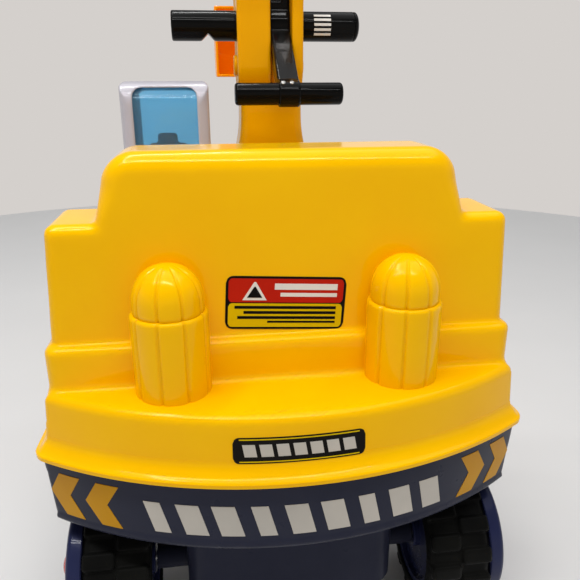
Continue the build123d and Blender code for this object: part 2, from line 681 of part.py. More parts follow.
def boom_hardware():
    with BuildPart() as screws:
        for y, z in BOOM_SCREWS:
            cylinder_x(BOOM_RIGHT + 1.5, BOOM_RIGHT + 4, y, z, 3.4)
            cylinder_x(BOOM_RIGHT + 4, SLOT_X1 + 12, y, z, 1.55)
    keep(screws.part, "boom_screws")

    with BuildPart() as pin:
        cylinder_x(BOOM_RIGHT, BOOM_LEFT, PIVOT_Y, PIVOT_Z, PIVOT_PIN_R)
    keep(pin.part, "boom_pivot_pin")

    with BuildPart() as caps:
        cylinder_x(BOOM_LEFT, BOOM_LEFT + 3, PIVOT_Y, PIVOT_Z, 11)
        cylinder_x(BOOM_RIGHT - 3, BOOM_RIGHT, PIVOT_Y, PIVOT_Z, 11)
        fillet(caps.faces().sort_by(Axis.X)[-1].edges(), radius=1.5)
        fillet(caps.faces().sort_by(Axis.X)[0].edges(), radius=1.5)
    keep(caps.part, "boom_pivot_caps")

    with BuildPart() as bar:
        cylinder_x(BAR_X0 + 6, BAR_X1 - 6, BAR_Y, BAR_Z, BAR_R)
        cylinder_x(BAR_X0, BAR_X1, BAR_Y, BAR_Z, BAR_R - WALL, mode=Mode.SUBTRACT)
    keep(bar.part, "lift_bar")

    with BuildPart() as ends:
        cylinder_x(BAR_X0, BAR_X0 + 6, BAR_Y, BAR_Z, BAR_R)
        cylinder_x(BAR_X1 - 6, BAR_X1, BAR_Y, BAR_Z, BAR_R)
        fillet(ends.faces().sort_by(Axis.X)[-1].edges(), radius=4)
        fillet(ends.faces().sort_by(Axis.X)[0].edges(), radius=4)
        cylinder_x(BAR_X0 + 6, BAR_X0 + 16, BAR_Y, BAR_Z, BAR_R - WALL)
        cylinder_x(BAR_X1 - 16, BAR_X1 - 6, BAR_Y, BAR_Z, BAR_R - WALL)
    keep(ends.part, "lift_bar_end_caps")

    with BuildPart() as stick_pin:
        cylinder_x(BOOM_RIGHT - 1.5, BOOM_LEFT + 1.5, STICK_Y, STICK_Z, STICK_PIN_R)
    keep(stick_pin.part, "stick_pivot_pin")

    with BuildPart() as link_pin:
        cylinder_x(BOOM_RIGHT - 1.5, BOOM_LEFT + 1.5, EAR_PIN[0], EAR_PIN[1], LINK_PIN_R)
    keep(link_pin.part, "link_rear_pin")


# ================================================================ lever, rod, stick, link, bucket
def hull_bar(x0, x1, first, second, r_first, r_second):
    """A flat bar between two round ends, along the line of their centres."""
    with BuildSketch(SIDE.offset(x0)) as section:
        with Locations(first):
            Circle(r_first)
        with Locations(second):
            Circle(r_second)
        make_hull()
    extrude(section.sketch, amount=x1 - x0)


def t_lever():
    with BuildPart() as arm:
        cylinder_x(ARM_X0, ARM_X1, BAR_Y, BAR_Z, BAR_R + 4)
        hull_bar(ARM_X0, ARM_X1, (BAR_Y + 11, BAR_Z - 9), (GRIP_Y - 6, GRIP_Z + 4), 8, 9)
        hull_bar(CRANK_X0, CRANK_X1, (BAR_Y, BAR_Z), LEVER_PIN, 12, 8)
        cylinder_x(ARM_X0 - 1, ARM_X1 + 1, BAR_Y, BAR_Z, BAR_R + FIT, mode=Mode.SUBTRACT)
        cylinder_x(ARM_X0 - 1, ARM_X1 + 1, GRIP_Y, GRIP_Z, GRIP_R, mode=Mode.SUBTRACT)
        cylinder_x(ARM_X0 - 1, ARM_X1 + 1, LEVER_PIN[0], LEVER_PIN[1], LINK_PIN_R, mode=Mode.SUBTRACT)
    keep(arm.part, "t_lever_arm")

    with BuildPart() as grip:
        cylinder_x(ARM_X - GRIP_LEN / 2, ARM_X + GRIP_LEN / 2, GRIP_Y, GRIP_Z, GRIP_R)
        fillet(grip.faces().sort_by(Axis.X)[-1].edges(), radius=2)
        fillet(grip.faces().sort_by(Axis.X)[0].edges(), radius=2)
    keep(grip.part, "t_lever_grip")

    with BuildPart() as pin:
        cylinder_x(CRANK_X0, ROD_X1 + 1.5, LEVER_PIN[0], LEVER_PIN[1], LINK_PIN_R)
    keep(pin.part, "rod_rear_pin")


def push_rod():
    with BuildPart() as rod:
        hull_bar(ROD_X0, ROD_X1, LEVER_PIN, STICK_PIN, 5, 5)
        cylinder_x(ROD_X0, ROD_X1, LEVER_PIN[0], LEVER_PIN[1], 8)
        cylinder_x(ROD_X0, ROD_X1, STICK_PIN[0], STICK_PIN[1], 8)
        for y, z in (LEVER_PIN, STICK_PIN):
            cylinder_x(ROD_X0 - 1, ROD_X1 + 1, y, z, LINK_PIN_R + FIT, mode=Mode.SUBTRACT)
    keep(rod.part, "push_rod")


def stick():
    with BuildPart() as arm:
        hull_bar(ARM_X0, ARM_X1, (STICK_Y, STICK_Z), BUCKET_PIN, 15, 11)
        hull_bar(CRANK_X0, CRANK_X1, (STICK_Y, STICK_Z), STICK_PIN, 14, 8)
        cylinder_x(ARM_X0 - 1, ARM_X1 + 1, STICK_Y, STICK_Z, STICK_PIN_R + FIT, mode=Mode.SUBTRACT)
        cylinder_x(ARM_X0 - 1, ARM_X1 + 1, BUCKET_PIN[0], BUCKET_PIN[1], STICK_PIN_R, mode=Mode.SUBTRACT)
        cylinder_x(ARM_X0 - 1, ARM_X1 + 1, STICK_PIN[0], STICK_PIN[1], LINK_PIN_R, mode=Mode.SUBTRACT)
    keep(arm.part, "stick")

    with BuildPart() as pin:
        cylinder_x(CRANK_X0, ROD_X1 + 1.5, STICK_PIN[0], STICK_PIN[1], LINK_PIN_R)
    keep(pin.part, "rod_front_pin")

    with BuildPart() as bucket_pin:
        cylinder_x(ARM_X0 - 7, ARM_X1 + 7, BUCKET_PIN[0], BUCKET_PIN[1], STICK_PIN_R)
    keep(bucket_pin.part, "bucket_pivot_pin")


def bucket_link():
    with BuildPart() as link:
        hull_bar(LINK_X0, LINK_X1, EAR_PIN, HORN_PIN, 6.5, 6.5)
        for y, z in (EAR_PIN, HORN_PIN):
            cylinder_x(LINK_X0 - 1, LINK_X1 + 1, y, z, LINK_PIN_R + FIT, mode=Mode.SUBTRACT)
    keep(link.part, "bucket_link")


def bucket_outline(inset):
    """Side outline of the bucket, open towards the seat: floor lip at the rear, curved front."""
    top = BUCKET_PIN[1] - 14 - inset
    with BuildLine() as outline:
        Line((-366, top), (-425, top))
        ThreePointArc((-425, top), (-446 + inset, 448), (-418, 404 + inset))
        Line((-418, 404 + inset), (-350, 404 + inset))
        Line((-350, 404 + inset), (-366, top))
    make_face(outline.edges())


def bucket():
    x0 = BUCKET_X - BUCKET_HALF
    x1 = BUCKET_X + BUCKET_HALF
    arm0 = ARM_X0 - GAP
    arm1 = ARM_X1 + GAP
    ear = 5.0
    teeth = 5
    with BuildPart() as scoop:
        with BuildSketch(SIDE.offset(x0)):
            bucket_outline(0)
        extrude(amount=x1 - x0)
        with BuildSketch(SIDE.offset(x0 + WALL)):
            bucket_outline(WALL)
            with Locations((-345, 450)):
                Rectangle(48, 80)
            with BuildLine():
                Polyline((-500, 407), (-300, 407), (-300, 489), (-500, 489), close=True)
            make_face(mode=Mode.INTERSECT)
        extrude(amount=x1 - x0 - 2 * WALL, mode=Mode.SUBTRACT)
        pitch = (x1 - x0) / teeth
        with BuildSketch(PLAN.offset(404)):
            for index in range(teeth):
                with Locations((x0 + pitch * (index + 0.5), -346)):
                    Rectangle(pitch * 0.55, 14)
        extrude(amount=WALL)
        for side in (arm0 - ear, arm1):
            hull_bar(side, side + ear, BUCKET_PIN, HORN_PIN, 9, 7)
            block(side, side + ear, -434, -381, BUCKET_PIN[1] - 15, BUCKET_PIN[1] - 4)
        cylinder_x(x0, x1, BUCKET_PIN[0], BUCKET_PIN[1], STICK_PIN_R + FIT, mode=Mode.SUBTRACT)
        cylinder_x(x0, x1, HORN_PIN[0], HORN_PIN[1], LINK_PIN_R, mode=Mode.SUBTRACT)
    keep(scoop.part, "bucket")

    with BuildPart() as pin:
        cylinder_x(arm0 - ear, arm1 + ear, HORN_PIN[0], HORN_PIN[1], LINK_PIN_R)
    keep(pin.part, "link_front_pin")


chassis_shell()
axle("front_axle", -AXLE_Y)
axle("rear_axle", AXLE_Y)
axle_fittings()
for corner, (side, end) in CORNERS.items():
    wheel(corner, side, end)
swivel_fittings()
lower_tray()
upper_cover()
boom_post()
cab()
boom_halves()
boom_hardware()
t_lever()
push_rod()
stick()
bucket_link()
bucket()
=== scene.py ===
import json
import math

import bmesh
import bpy
import numpy as np
from mathutils import Matrix, Vector


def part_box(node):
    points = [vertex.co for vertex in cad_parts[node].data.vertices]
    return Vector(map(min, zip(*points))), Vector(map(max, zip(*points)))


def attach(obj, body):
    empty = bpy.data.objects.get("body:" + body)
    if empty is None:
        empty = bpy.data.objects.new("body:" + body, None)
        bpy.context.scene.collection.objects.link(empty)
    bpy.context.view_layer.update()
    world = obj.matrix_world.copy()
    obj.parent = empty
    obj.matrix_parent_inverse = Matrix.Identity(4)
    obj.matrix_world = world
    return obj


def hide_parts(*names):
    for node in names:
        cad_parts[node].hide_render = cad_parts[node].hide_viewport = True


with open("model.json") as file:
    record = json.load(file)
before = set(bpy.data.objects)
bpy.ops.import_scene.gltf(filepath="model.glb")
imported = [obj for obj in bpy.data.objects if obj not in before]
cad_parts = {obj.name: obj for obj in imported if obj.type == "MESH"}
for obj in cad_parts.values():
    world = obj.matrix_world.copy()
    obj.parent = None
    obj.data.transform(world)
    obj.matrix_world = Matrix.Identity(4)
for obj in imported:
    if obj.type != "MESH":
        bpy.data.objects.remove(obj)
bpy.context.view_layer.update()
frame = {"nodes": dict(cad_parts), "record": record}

nodes = frame["nodes"]

# ---------------- units and places from the frame
# Shapes are worked out in millimetres from the swivel axis and the floor, and written in metres.
MM = 0.001
swivel_lo, swivel_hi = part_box("swivel_kingpin")
SWIVEL_Y = (swivel_lo.y + swivel_hi.y) / 2 / MM


def span(node):
    """A CAD node's corners, in millimetres from the swivel axis and the floor."""
    lo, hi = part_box(node)
    shift = np.array([0.0, SWIVEL_Y, 0.0])
    return np.array(lo) / MM - shift, np.array(hi) / MM - shift


def centre(node):
    lo, hi = span(node)
    return (lo + hi) / 2


def width(node):
    """The X positions of a CAD node's two sides."""
    lo, hi = span(node)
    return lo[0], hi[0]


tray_lo, tray_hi = span("lower_tray")
cover_lo, cover_hi = span("upper_cover")
cab_lo, cab_hi = span("cab_frame")
post_lo, post_hi = span("boom_post")
left_lo, left_hi = span("boom_left_half")
right_lo, right_hi = span("boom_right_half")
bar_lo, bar_hi = span("lift_bar_end_caps")
grip_lo, grip_hi = span("t_lever_grip")
bucket_lo, bucket_hi = span("bucket")

PIVOT = centre("boom_pivot_pin")
BAR = centre("lift_bar")
GRIP = centre("t_lever_grip")
ROD_REAR = centre("rod_rear_pin")
ROD_FRONT = centre("rod_front_pin")
STICK = centre("stick_pivot_pin")
EAR = centre("link_rear_pin")
BUCKET_PIN = centre("bucket_pivot_pin")
HORN = centre("link_front_pin")

TRAY_Z = tray_lo[2]
LIP_Z = tray_hi[2]          # where the cover's lip rests on the tray
TAIL_Y = cover_hi[1]
TAIL_R = 300.0              # plan radius of the tail
BACK_Z = cover_hi[2]        # top of the backrest
SHELF_Z = cab_lo[2]         # the deck, on which the domes, the post and the cab stand
FLARE_Z = 182.0             # where the lip's hollow flare ends and the skirt starts
SKIRT_INSET = 9.0           # how far the skirt stands in from the lip
BAND_INSET = 5.0            # how far the tray's top edge stands in from the lip
BAND_TAPER = 4.0            # how much further its bottom edge stands in
STEP_Z = 240.0              # top of the tier at the foot of the backrest
TIER_HALF = 158.0
TIER_Y = 146.0              # rear face of the tier
TIER_FRONT_Y = 80.0
SHOULDER_Z = 318.0
WALL_Y = 138.0              # rear face of the backrest
BACK_FRONT_Y = 78.0
DOME_X = 76.5
DOME_Y = 150.0
POST_Y = -179.5

WHEEL_R = 55.0
GLASS_Z = span("cab_glazing")[0][2]
ARM = width("t_lever_arm")
SLOT = ARM                  # the slot between the boom's halves
ROD = width("push_rod")
LINK = width("bucket_link")
LEFT = width("boom_left_half")
RIGHT = width("boom_right_half")


# ---------------- distance fields, negative inside
def join(a, b, k):
    """Union with a concave fillet about k wide."""
    h = np.clip(0.5 + 0.5 * (b - a) / k, 0, 1)
    return b * (1 - h) + a * h - k * h * (1 - h)


def common(a, b, k):
    """Intersection with a rounded edge about k wide."""
    return -join(-a, -b, k)


def cut(a, b, k):
    """a without b, with a rounded edge about k wide."""
    return common(a, -b, k)


def rounded(qx, qy, r):
    """Joins two one-way distances into a rounded corner of radius r."""
    ax = qx + r
    ay = qy + r
    return np.minimum(np.maximum(ax, ay), 0) + np.hypot(np.maximum(ax, 0), np.maximum(ay, 0)) - r


def between(v, lo, hi):
    return np.abs(v - (lo + hi) / 2) - (hi - lo) / 2


def slab(flat, along, lo, hi, r):
    """A flat outline given thickness between lo and hi, its edges rounded by r."""
    return rounded(flat, between(along, lo, hi), r)


def brick(x, y, z, lo, hi, r, plan_r=None):
    """A box between two corners: upright edges rounded by plan_r, the others by r."""
    flat = rounded(between(x, lo[0], hi[0]), between(y, lo[1], hi[1]), plan_r or r)
    return slab(flat, z, lo[2], hi[2], r)


def at(pin):
    """A pin's place in the side view."""
    return pin[1], pin[2]


def disc(u, v, cu, cv, r):
    return np.hypot(u - cu, v - cv) - r


def capsule(u, v, first, second, r_first, r_second):
    """A flat bar with round ends in the plane."""
    du, dv = second[0] - first[0], second[1] - first[1]
    t = np.clip(((u - first[0]) * du + (v - first[1]) * dv) / (du * du + dv * dv), 0, 1)
    return np.hypot(u - first[0] - t * du, v - first[1] - t * dv) - (r_first + t * (r_second - r_first))


def polygon(u, v, corners):
    """Signed distance to a closed outline of straight sides."""
    shape = np.broadcast(u, v).shape
    best = np.full(shape, np.inf)
    sign = np.ones(shape)
    for (au, av), (bu, bv) in zip(corners, corners[1:] + corners[:1]):
        eu, ev = bu - au, bv - av
        wu, wv = u - au, v - av
        t = np.clip((wu * eu + wv * ev) / (eu * eu + ev * ev), 0, 1)
        best = np.minimum(best, (wu - eu * t) ** 2 + (wv - ev * t) ** 2)
        above = v >= av
        below = v < bv
        left = eu * wv > ev * wu
        flip = (above & below & left) | (~above & ~below & ~left)
        sign = np.where(flip, -sign, sign)
    return sign * np.sqrt(best)


# ---------------- meshing
def net(field, lo, hi, cell):
    """Wraps a field's surface in quads, then slides each vertex onto the surface itself."""
    # One vertex for each cell of the grid that has corners on both sides of the surface.
    axes = [np.arange(a - 1.5 * cell, b + 2.5 * cell, cell) for a, b in zip(lo, hi)]
    values = field(*np.ix_(*axes))
    values = np.broadcast_to(values, [len(a) for a in axes])
    inside = values < 0
    nx, ny, nz = (n - 1 for n in inside.shape)
    count = np.zeros((nx, ny, nz), int)
    for i in (0, 1):
        for j in (0, 1):
            for k in (0, 1):
                count += inside[i:nx + i, j:ny + j, k:nz + k]
    active = (count > 0) & (count < 8)
    cells = np.argwhere(active)
    index = np.full(active.shape, -1)
    index[active] = np.arange(len(cells))
    # The vertex starts at the mean of the points where the cell's edges cross the surface.
    total = np.zeros((len(cells), 3))
    hits = np.zeros(len(cells))
    for axis in range(3):
        along = np.eye(3, dtype=int)[axis]
        for step in range(4):
            start = np.zeros(3, int)
            start[(axis + 1) % 3] = step % 2
            start[(axis + 2) % 3] = step // 2
            f0 = values[tuple((cells + start).T)]
            f1 = values[tuple((cells + start + along).T)]
            crosses = (f0 < 0) != (f1 < 0)
            t = np.where(crosses, f0 / np.where(f0 == f1, 1, f0 - f1), 0)
            total += crosses[:, None] * (start + t[:, None] * along)
            hits += crosses
    points = np.array([a[0] for a in axes]) + (cells + total / hits[:, None]) * cell
    # Five short steps down the field's slope bring it onto the surface.
    small = cell * 0.05
    for _ in range(5):
        x, y, z = points.T
        value = field(x, y, z)
        slope = np.stack(
            [
                field(x + small, y, z) - field(x - small, y, z),
                field(x, y + small, z) - field(x, y - small, z),
                field(x, y, z + small) - field(x, y, z - small),
            ],
            axis=-1,
        ) / (2 * small)
        size = np.maximum((slope**2).sum(-1), 0.05)
        move = (value / size)[:, None] * slope
        length = np.maximum(np.linalg.norm(move, axis=-1, keepdims=True), 1e-9)
        points = points - move * np.minimum(1, 0.4 * cell / length)
    # One quad round each grid edge that crosses the surface.
    quads = []
    for axis in range(3):
        b, c = (axis + 1) % 3, (axis + 2) % 3
        ahead = np.moveaxis(inside, axis, 0)
        changed = np.moveaxis(ahead[1:] != ahead[:-1], 0, axis)
        core = [slice(None)] * 3
        core[b] = slice(1, -1)
        core[c] = slice(1, -1)
        where = np.argwhere(changed[tuple(core)])
        where[:, b] += 1
        where[:, c] += 1
        ring = []
        for db, dc in ((-1, -1), (0, -1), (0, 0), (-1, 0)):
            near = where.copy()
            near[:, b] += db
            near[:, c] += dc
            ring.append(index[tuple(near.T)])
        ring = np.stack(ring, axis=-1)
        outward = inside[tuple(where.T)]
        quads.append(np.where(outward[:, None], ring, ring[:, ::-1]))
    return points, np.concatenate(quads)


def mesh_piece(name, points, faces, body, material, smooth_angle=None):
    """Makes one object from points in millimetres and rides it on a body."""
    mesh = bpy.data.meshes.new(name)
    world = (np.asarray(points) + np.array([0.0, SWIVEL_Y, 0.0])) * MM
    mesh.from_pydata(world.tolist(), [], [list(map(int, f)) for f in faces])
    mesh.validate()
    mesh.update()
    mesh.shade_smooth()
    if smooth_angle is not None:
        mesh.set_sharp_from_angle(angle=math.radians(smooth_angle))
    obj = bpy.data.objects.new(name, mesh)
    bpy.context.scene.collection.objects.link(obj)
    mesh.materials.append(material)
    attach(obj, body)
    return obj


def tube_faces(rows, turns, closed=False):
    """Quads between rings of points; closed also joins the last ring to the first."""
    faces = []
    for row in range(rows if closed else rows - 1):
        low, high = row * turns, (row + 1) % rows * turns
        for k in range(turns):
            after = (k + 1) % turns
            faces.append((low + k, low + after, high + after, high + k))
    return faces


def face_outward(obj):
    """Turns the faces of a closed mesh outward."""
    mesh = bmesh.new()
    mesh.from_mesh(obj.data)
    bmesh.ops.recalc_face_normals(mesh, faces=mesh.faces)
    mesh.to_mesh(obj.data)
    mesh.free()


def skin(name, field, lo, hi, cell, body, material, stands_for):
    """A piece wrapped round a distance field."""
    points, quads = net(field, lo, hi, cell)
    obj = mesh_piece(name, points, quads, body, material)
    if stands_for:
        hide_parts(*stands_for)


def farthest(outside, lo, hi, steps):
    """Halves the range between lo and hi until it closes on the reach where outside(reach) turns true."""
    for _ in range(steps):
        reach = (lo + hi) / 2
        out = outside(reach)
        hi = np.where(out, reach, hi)
        lo = np.where(out, lo, reach)
    return lo


# ---------------- materials
def node_material(name):
    material = bpy.data.materials.new(name)
    material.use_nodes = True
    tree = material.node_tree
    shader = tree.nodes["Principled BSDF"]
    return material, tree, shader


def noise(tree, scale, detail=4.0, rough=0.6):
    coords = tree.nodes.get("Texture Coordinate") or tree.nodes.new("ShaderNodeTexCoord")
    texture = tree.nodes.new("ShaderNodeTexNoise")
    texture.inputs["Scale"].default_value = scale
    texture.inputs["Detail"].default_value = detail
    texture.inputs["Roughness"].default_value = rough
    tree.links.new(coords.outputs["Object"], texture.inputs["Vector"])
    return texture.outputs["Fac"]


def remap(tree, value, low, high, to_low, to_high):
    step = tree.nodes.new("ShaderNodeMapRange")
    step.inputs["From Min"].default_value = low
    step.inputs["From Max"].default_value = high
    step.inputs["To Min"].default_value = to_low
    step.inputs["To Max"].default_value = to_high
    tree.links.new(value, step.inputs["Value"])
    return step.outputs["Result"]


def tint(tree, factor, first, second):
    blend = tree.nodes.new("ShaderNodeMix")
    blend.data_type = "RGBA"
    blend.inputs["A"].default_value = (*first, 1)
    blend.inputs["B"].default_value = (*second, 1)
    tree.links.new(factor, blend.inputs["Factor"])
    return blend.outputs["Result"]


def plastic(name, colour, second, roughness, coat=0.0, grain=900.0, bump=0.02, specular=0.5, painted_glow=0.0):
    """Moulded plastic: slow colour drift, smudged gloss and a fine surface ripple; a glow above zero is
    painted light, emission in the plastic's own colour though the part is no lamp.
    """
    material, tree, shader = node_material(name)
    drift = remap(tree, noise(tree, 14.0), 0.35, 0.65, 0, 1)
    tree.links.new(tint(tree, drift, colour, second), shader.inputs["Base Color"])
    smudge = remap(tree, noise(tree, 32.0, 6.0), 0.35, 0.7, roughness - 0.03, roughness + 0.06)
    tree.links.new(smudge, shader.inputs["Roughness"])
    ripple = tree.nodes.new("ShaderNodeBump")
    ripple.inputs["Strength"].default_value = bump
    ripple.inputs["Distance"].default_value = 0.001
    tree.links.new(noise(tree, grain, 3.0), ripple.inputs["Height"])
    tree.links.new(ripple.outputs["Normal"], shader.inputs["Normal"])
    shader.inputs["Coat Weight"].default_value = coat
    shader.inputs["Coat Roughness"].default_value = 0.04
    shader.inputs["Specular IOR Level"].default_value = specular
    shader.inputs["Specular Tint"].default_value = (*[0.1 + 0.9 * c for c in colour], 1)
    # Emission in the plastic's own colour: a painted glow, not a lamp, wherever its strength is above zero.
    shader.inputs["Emission Color"].default_value = (*colour, 1)
    shader.inputs["Emission Strength"].default_value = painted_glow
    return material


yellow = plastic("yellow_gloss", (0.95, 0.52, 0.0), (0.93, 0.49, 0.0), 0.13, 0.14, 260, 0.01, 0.25)
amber = plastic("amber_gloss", (0.86, 0.40, 0.0), (0.82, 0.37, 0.0), 0.20, 0.12, 260, 0.01, 0.2)
# The bucket's orange carries a painted glow: a little emission stands in for light shining through its thin
# walls.
orange = plastic("orange_gloss", (1.0, 0.32, 0.0), (0.95, 0.28, 0.0), 0.26, 0.15, specular=0.2, painted_glow=0.10)
red = plastic("red_gloss", (0.52, 0.030, 0.022), (0.45, 0.022, 0.018), 0.22, 0.3, specular=0.3)
black = plastic("black_gloss", (0.003, 0.003, 0.003), (0.005, 0.005, 0.005), 0.18, 0.1, 900, 0.01, 0.15)
pale = plastic("cab_pale_gloss", (0.50, 0.48, 0.53), (0.46, 0.445, 0.49), 0.18, 0.4, specular=0.4)
rubber = plastic("tyre_black", (0.004, 0.004, 0.004), (0.008, 0.008, 0.007), 0.46, 0.0, 600, 0.05, 0.15)
blue_grey = plastic("blue_grey_satin", (0.020, 0.022, 0.040), (0.025, 0.027, 0.046), 0.30, 0, 900, 0.01, 0.2)
navy = plastic("navy_satin", (0.010, 0.016, 0.060), (0.014, 0.020, 0.070), 0.4)
navy_gloss = plastic("wheel_navy", (0.016, 0.020, 0.060), (0.022, 0.026, 0.072), 0.28, 0.15, specular=0.3)
nylon = plastic("white_nylon", (0.80, 0.79, 0.74), (0.76, 0.75, 0.70), 0.45)
chevron_vinyl = plastic("chevron_vinyl", (0.58, 0.28, 0.003), (0.52, 0.24, 0.003), 0.34, specular=0.2)
cream_vinyl = plastic("cream_vinyl", (0.56, 0.52, 0.46), (0.48, 0.45, 0.40), 0.38)
white_vinyl = plastic("white_vinyl", (0.78, 0.77, 0.73), (0.70, 0.69, 0.66), 0.36)
black_vinyl = plastic("black_vinyl", (0.006, 0.005, 0.005), (0.010, 0.009, 0.008), 0.30, specular=0.15)
red_vinyl = plastic("red_vinyl", (0.50, 0.018, 0.006), (0.44, 0.014, 0.006), 0.32, specular=0.2)
gold_vinyl = plastic("gold_vinyl", (0.70, 0.50, 0.0), (0.64, 0.45, 0.0), 0.32, specular=0.2)


def steel_material():
    material, tree, shader = node_material("zinc_steel")
    drift = remap(tree, noise(tree, 120.0), 0.3, 0.7, 0, 1)
    tree.links.new(tint(tree, drift, (0.62, 0.62, 0.60), (0.48, 0.48, 0.46)), shader.inputs["Base Color"])
    tree.links.new(remap(tree, noise(tree, 300.0), 0.3, 0.7, 0.22, 0.38), shader.inputs["Roughness"])
    shader.inputs["Metallic"].default_value = 1.0
    return material


def window_material():
    """Clear blue plastic."""
    material, tree, shader = node_material("clear_blue")
    drift = remap(tree, noise(tree, 20.0), 0.3, 0.7, 0, 1)
    tree.links.new(tint(tree, drift, (0.40, 0.77, 1.0), (0.36, 0.73, 0.97)), shader.inputs["Base Color"])
    tree.links.new(remap(tree, noise(tree, 60.0), 0.3, 0.7, 0.04, 0.09), shader.inputs["Roughness"])
    shader.inputs["Transmission Weight"].default_value = 0.9
    shader.inputs["IOR"].default_value = 1.3
    return material


steel = steel_material()
window = window_material()


# ---------------- turned pieces
TURNS = 96
ON_AXIS = 1e-6              # a smaller radius counts as a point on the axis


def lathe(name, profile, y, z, body, material, stands_for):
    """A piece turned about an X-wise axis: profile is (x, radius) from end to end, closed at the axis."""
    points, faces, rings = [], [], []
    for x, r in profile:
        rings.append(len(points))
        if r < ON_AXIS:
            points.append((x, y, z))
            continue
        for k in range(TURNS):
            angle = 2 * math.pi * k / TURNS
            points.append((x, y + r * math.cos(angle), z + r * math.sin(angle)))
    for (first, (_, r0)), (second, (_, r1)) in zip(zip(rings, profile), zip(rings[1:], profile[1:])):
        for k in range(TURNS):
            after = (k + 1) % TURNS
            if r0 < ON_AXIS:
                faces.append((first, second + after, second + k))
            elif r1 < ON_AXIS:
                faces.append((first + k, first + after, second))
            else:
                faces.append((first + k, first + after, second + after, second + k))
    obj = mesh_piece(name, points, faces, body, material, smooth_angle=35)
    face_outward(obj)
    if stands_for:
        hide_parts(*stands_for)


def fillet_arc(x, r, radius, start, end, steps=5):
    """Points of a rounded corner centred on (x, r), between two angles in degrees."""
    turn = np.radians(np.linspace(start, end, steps))
    return [(x + radius * math.cos(t), r + radius * math.sin(t)) for t in turn]


# ---------------- wheels
LUGS = 15
LUG_R = WHEEL_R - 0.2
TREAD_R = WHEEL_R - 4.0
DRUM_R = 40.6               # the disc's drum, on which the tyre sits
TYRE_X = (span("tyre_rear_left")[0][0], 147.0)
GROOVE = (23.5, 46.5)       # the wall's groove: from the tyre's middle, and its radius
LUG_LONG = 22.0
LUG_HALF = 5.6
HUB_R = 12.0
CAP_R = 13.6


def tyre_field(x, y, z):
    """Tyre on the X axis: round shoulders, a groove in each wall and two staggered rows of lugs."""
    r = np.hypot(y, z)
    middle = (TYRE_X[0] + TYRE_X[1]) / 2
    body = rounded(between(x, *TYRE_X), r - TREAD_R, 6)
    body = np.maximum(body, DRUM_R - 0.1 - r)
    groove = np.hypot(middle - x - GROOVE[0], r - GROOVE[1]) - 0.9
    tyre = cut(body, groove, 0.6)
    for row in (0, 1):
        turn = (np.arctan2(z, y) / (2 * math.pi) + 0.25) * LUGS + 0.5 * row
        across = (turn - np.round(turn)) * 2 * math.pi * TREAD_R / LUGS
        lo = TYRE_X[0] + 1.0 + row * (LUG_LONG + 1)
        flat = rounded(np.abs(across) - LUG_HALF, between(x, lo, lo + LUG_LONG), 2.2)
        lug = slab(flat, r, TREAD_R - 4, LUG_R, 1.5)
        tyre = join(tyre, lug, 1.4)
    return tyre


def disc_profile():
    """The wheel disc from the inside out: hub, drum, flange round the tyre's wall, dished face and boss."""
    profile = [(101.0, 0.0), (101.0, 11.0), (102.0, HUB_R), (106.0, HUB_R), (106.0, 36.0), (102.5, 36.5)]
    profile += [(102.0, DRUM_R), (146.0, DRUM_R), (147.2, 41.5), (147.2, 49.4), (147.8, 50.2)]
    profile += fillet_arc(154.2, 46.6, 3.8, 90, 0, 8)
    profile += [(157.4, 43.6), (155.6, 42.4), (155.0, 41.0), (154.8, 30.0), (155.4, 22.0), (156.4, 19.0)]
    return profile + [(157.6, 17.8), (158.0, 16.8), (158.0, HUB_R), (157.4, 11.2), (156.2, 0.0)]


def cap_profile():
    """The hub cap: a short neck under a flattened dome."""
    dome = [(158.8 + 11.0 * math.sin(t), CAP_R * math.cos(t)) for t in np.linspace(0, math.pi / 2, 12)]
    return [(157.2, 0.0), (157.2, 11.4), (158.2, 13.2)] + dome


def wheels():
    box_lo, box_hi = (TYRE_X[0], -WHEEL_R, -WHEEL_R), (TYRE_X[1], WHEEL_R, WHEEL_R)
    points, quads = net(tyre_field, box_lo, box_hi, 1.7)
    for corner, side in (("front_left", 1), ("front_right", -1), ("rear_left", 1), ("rear_right", -1)):
        middle = centre("tyre_" + corner)
        body = "wheel_" + corner
        placed = points * np.array([side, 1, 1]) + np.array([0, middle[1], middle[2]])
        faces = quads if side > 0 else quads[:, ::-1]
        tyre = mesh_piece("tread_" + corner, placed, faces, body, rubber)
        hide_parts("tyre_" + corner)
        disc_points = [(side * x, r) for x, r in disc_profile()]
        lathe("dish_" + corner, disc_points, middle[1], middle[2], body, navy_gloss,
              ["wheel_disc_" + corner])
        cap_points = [(side * x, r) for x, r in cap_profile()]
        lathe("cap_" + corner, cap_points, middle[1], middle[2], body, red,
              ["hub_cap_" + corner])


# ---------------- house: tray and cover
TAIL_CENTRE = TAIL_Y - TAIL_R
NOSE_R = 379.0              # plan radius of the front
NOSE_CENTRE = 165.0
WAIST_HALF = 100.0          # half width beside the seat
REAR_FROM, REAR_RUN, REAR_GAIN = 14.0, 62.0, 68.0
DECK_FROM, DECK_RUN, DECK_GAIN = -74.0, 50.0, 42.0


def smoothstep(t):
    return t * t * (3 - 2 * t)


def plan_field(x, y):
    """The house from above: curved tail, narrow waist beside the seat, wide front deck."""
    rear = np.clip((y - REAR_FROM) / REAR_RUN, 0, 1)
    front = np.clip((DECK_FROM - y) / DECK_RUN, 0, 1)
    half = WAIST_HALF + REAR_GAIN * smoothstep(rear) + 2 * np.clip((y - 74) / 81, 0, 1.4)
    half = half + DECK_GAIN * smoothstep(front) - 4 * np.clip((-122 - y) / 66, 0, 1.5)
    # How steeply the half width changes along Y, which the distance is divided by.
    lean = REAR_GAIN * 6 * rear * (1 - rear) / REAR_RUN + DECK_GAIN * 6 * front * (1 - front) / DECK_RUN
    side = (np.abs(x) - half) / np.sqrt(1 + lean**2)
    tail = np.hypot(x, y - TAIL_CENTRE) - TAIL_R
    nose = np.hypot(x, y - NOSE_CENTRE) - NOSE_R
    return rounded(rounded(side, tail, 7), nose, 12)


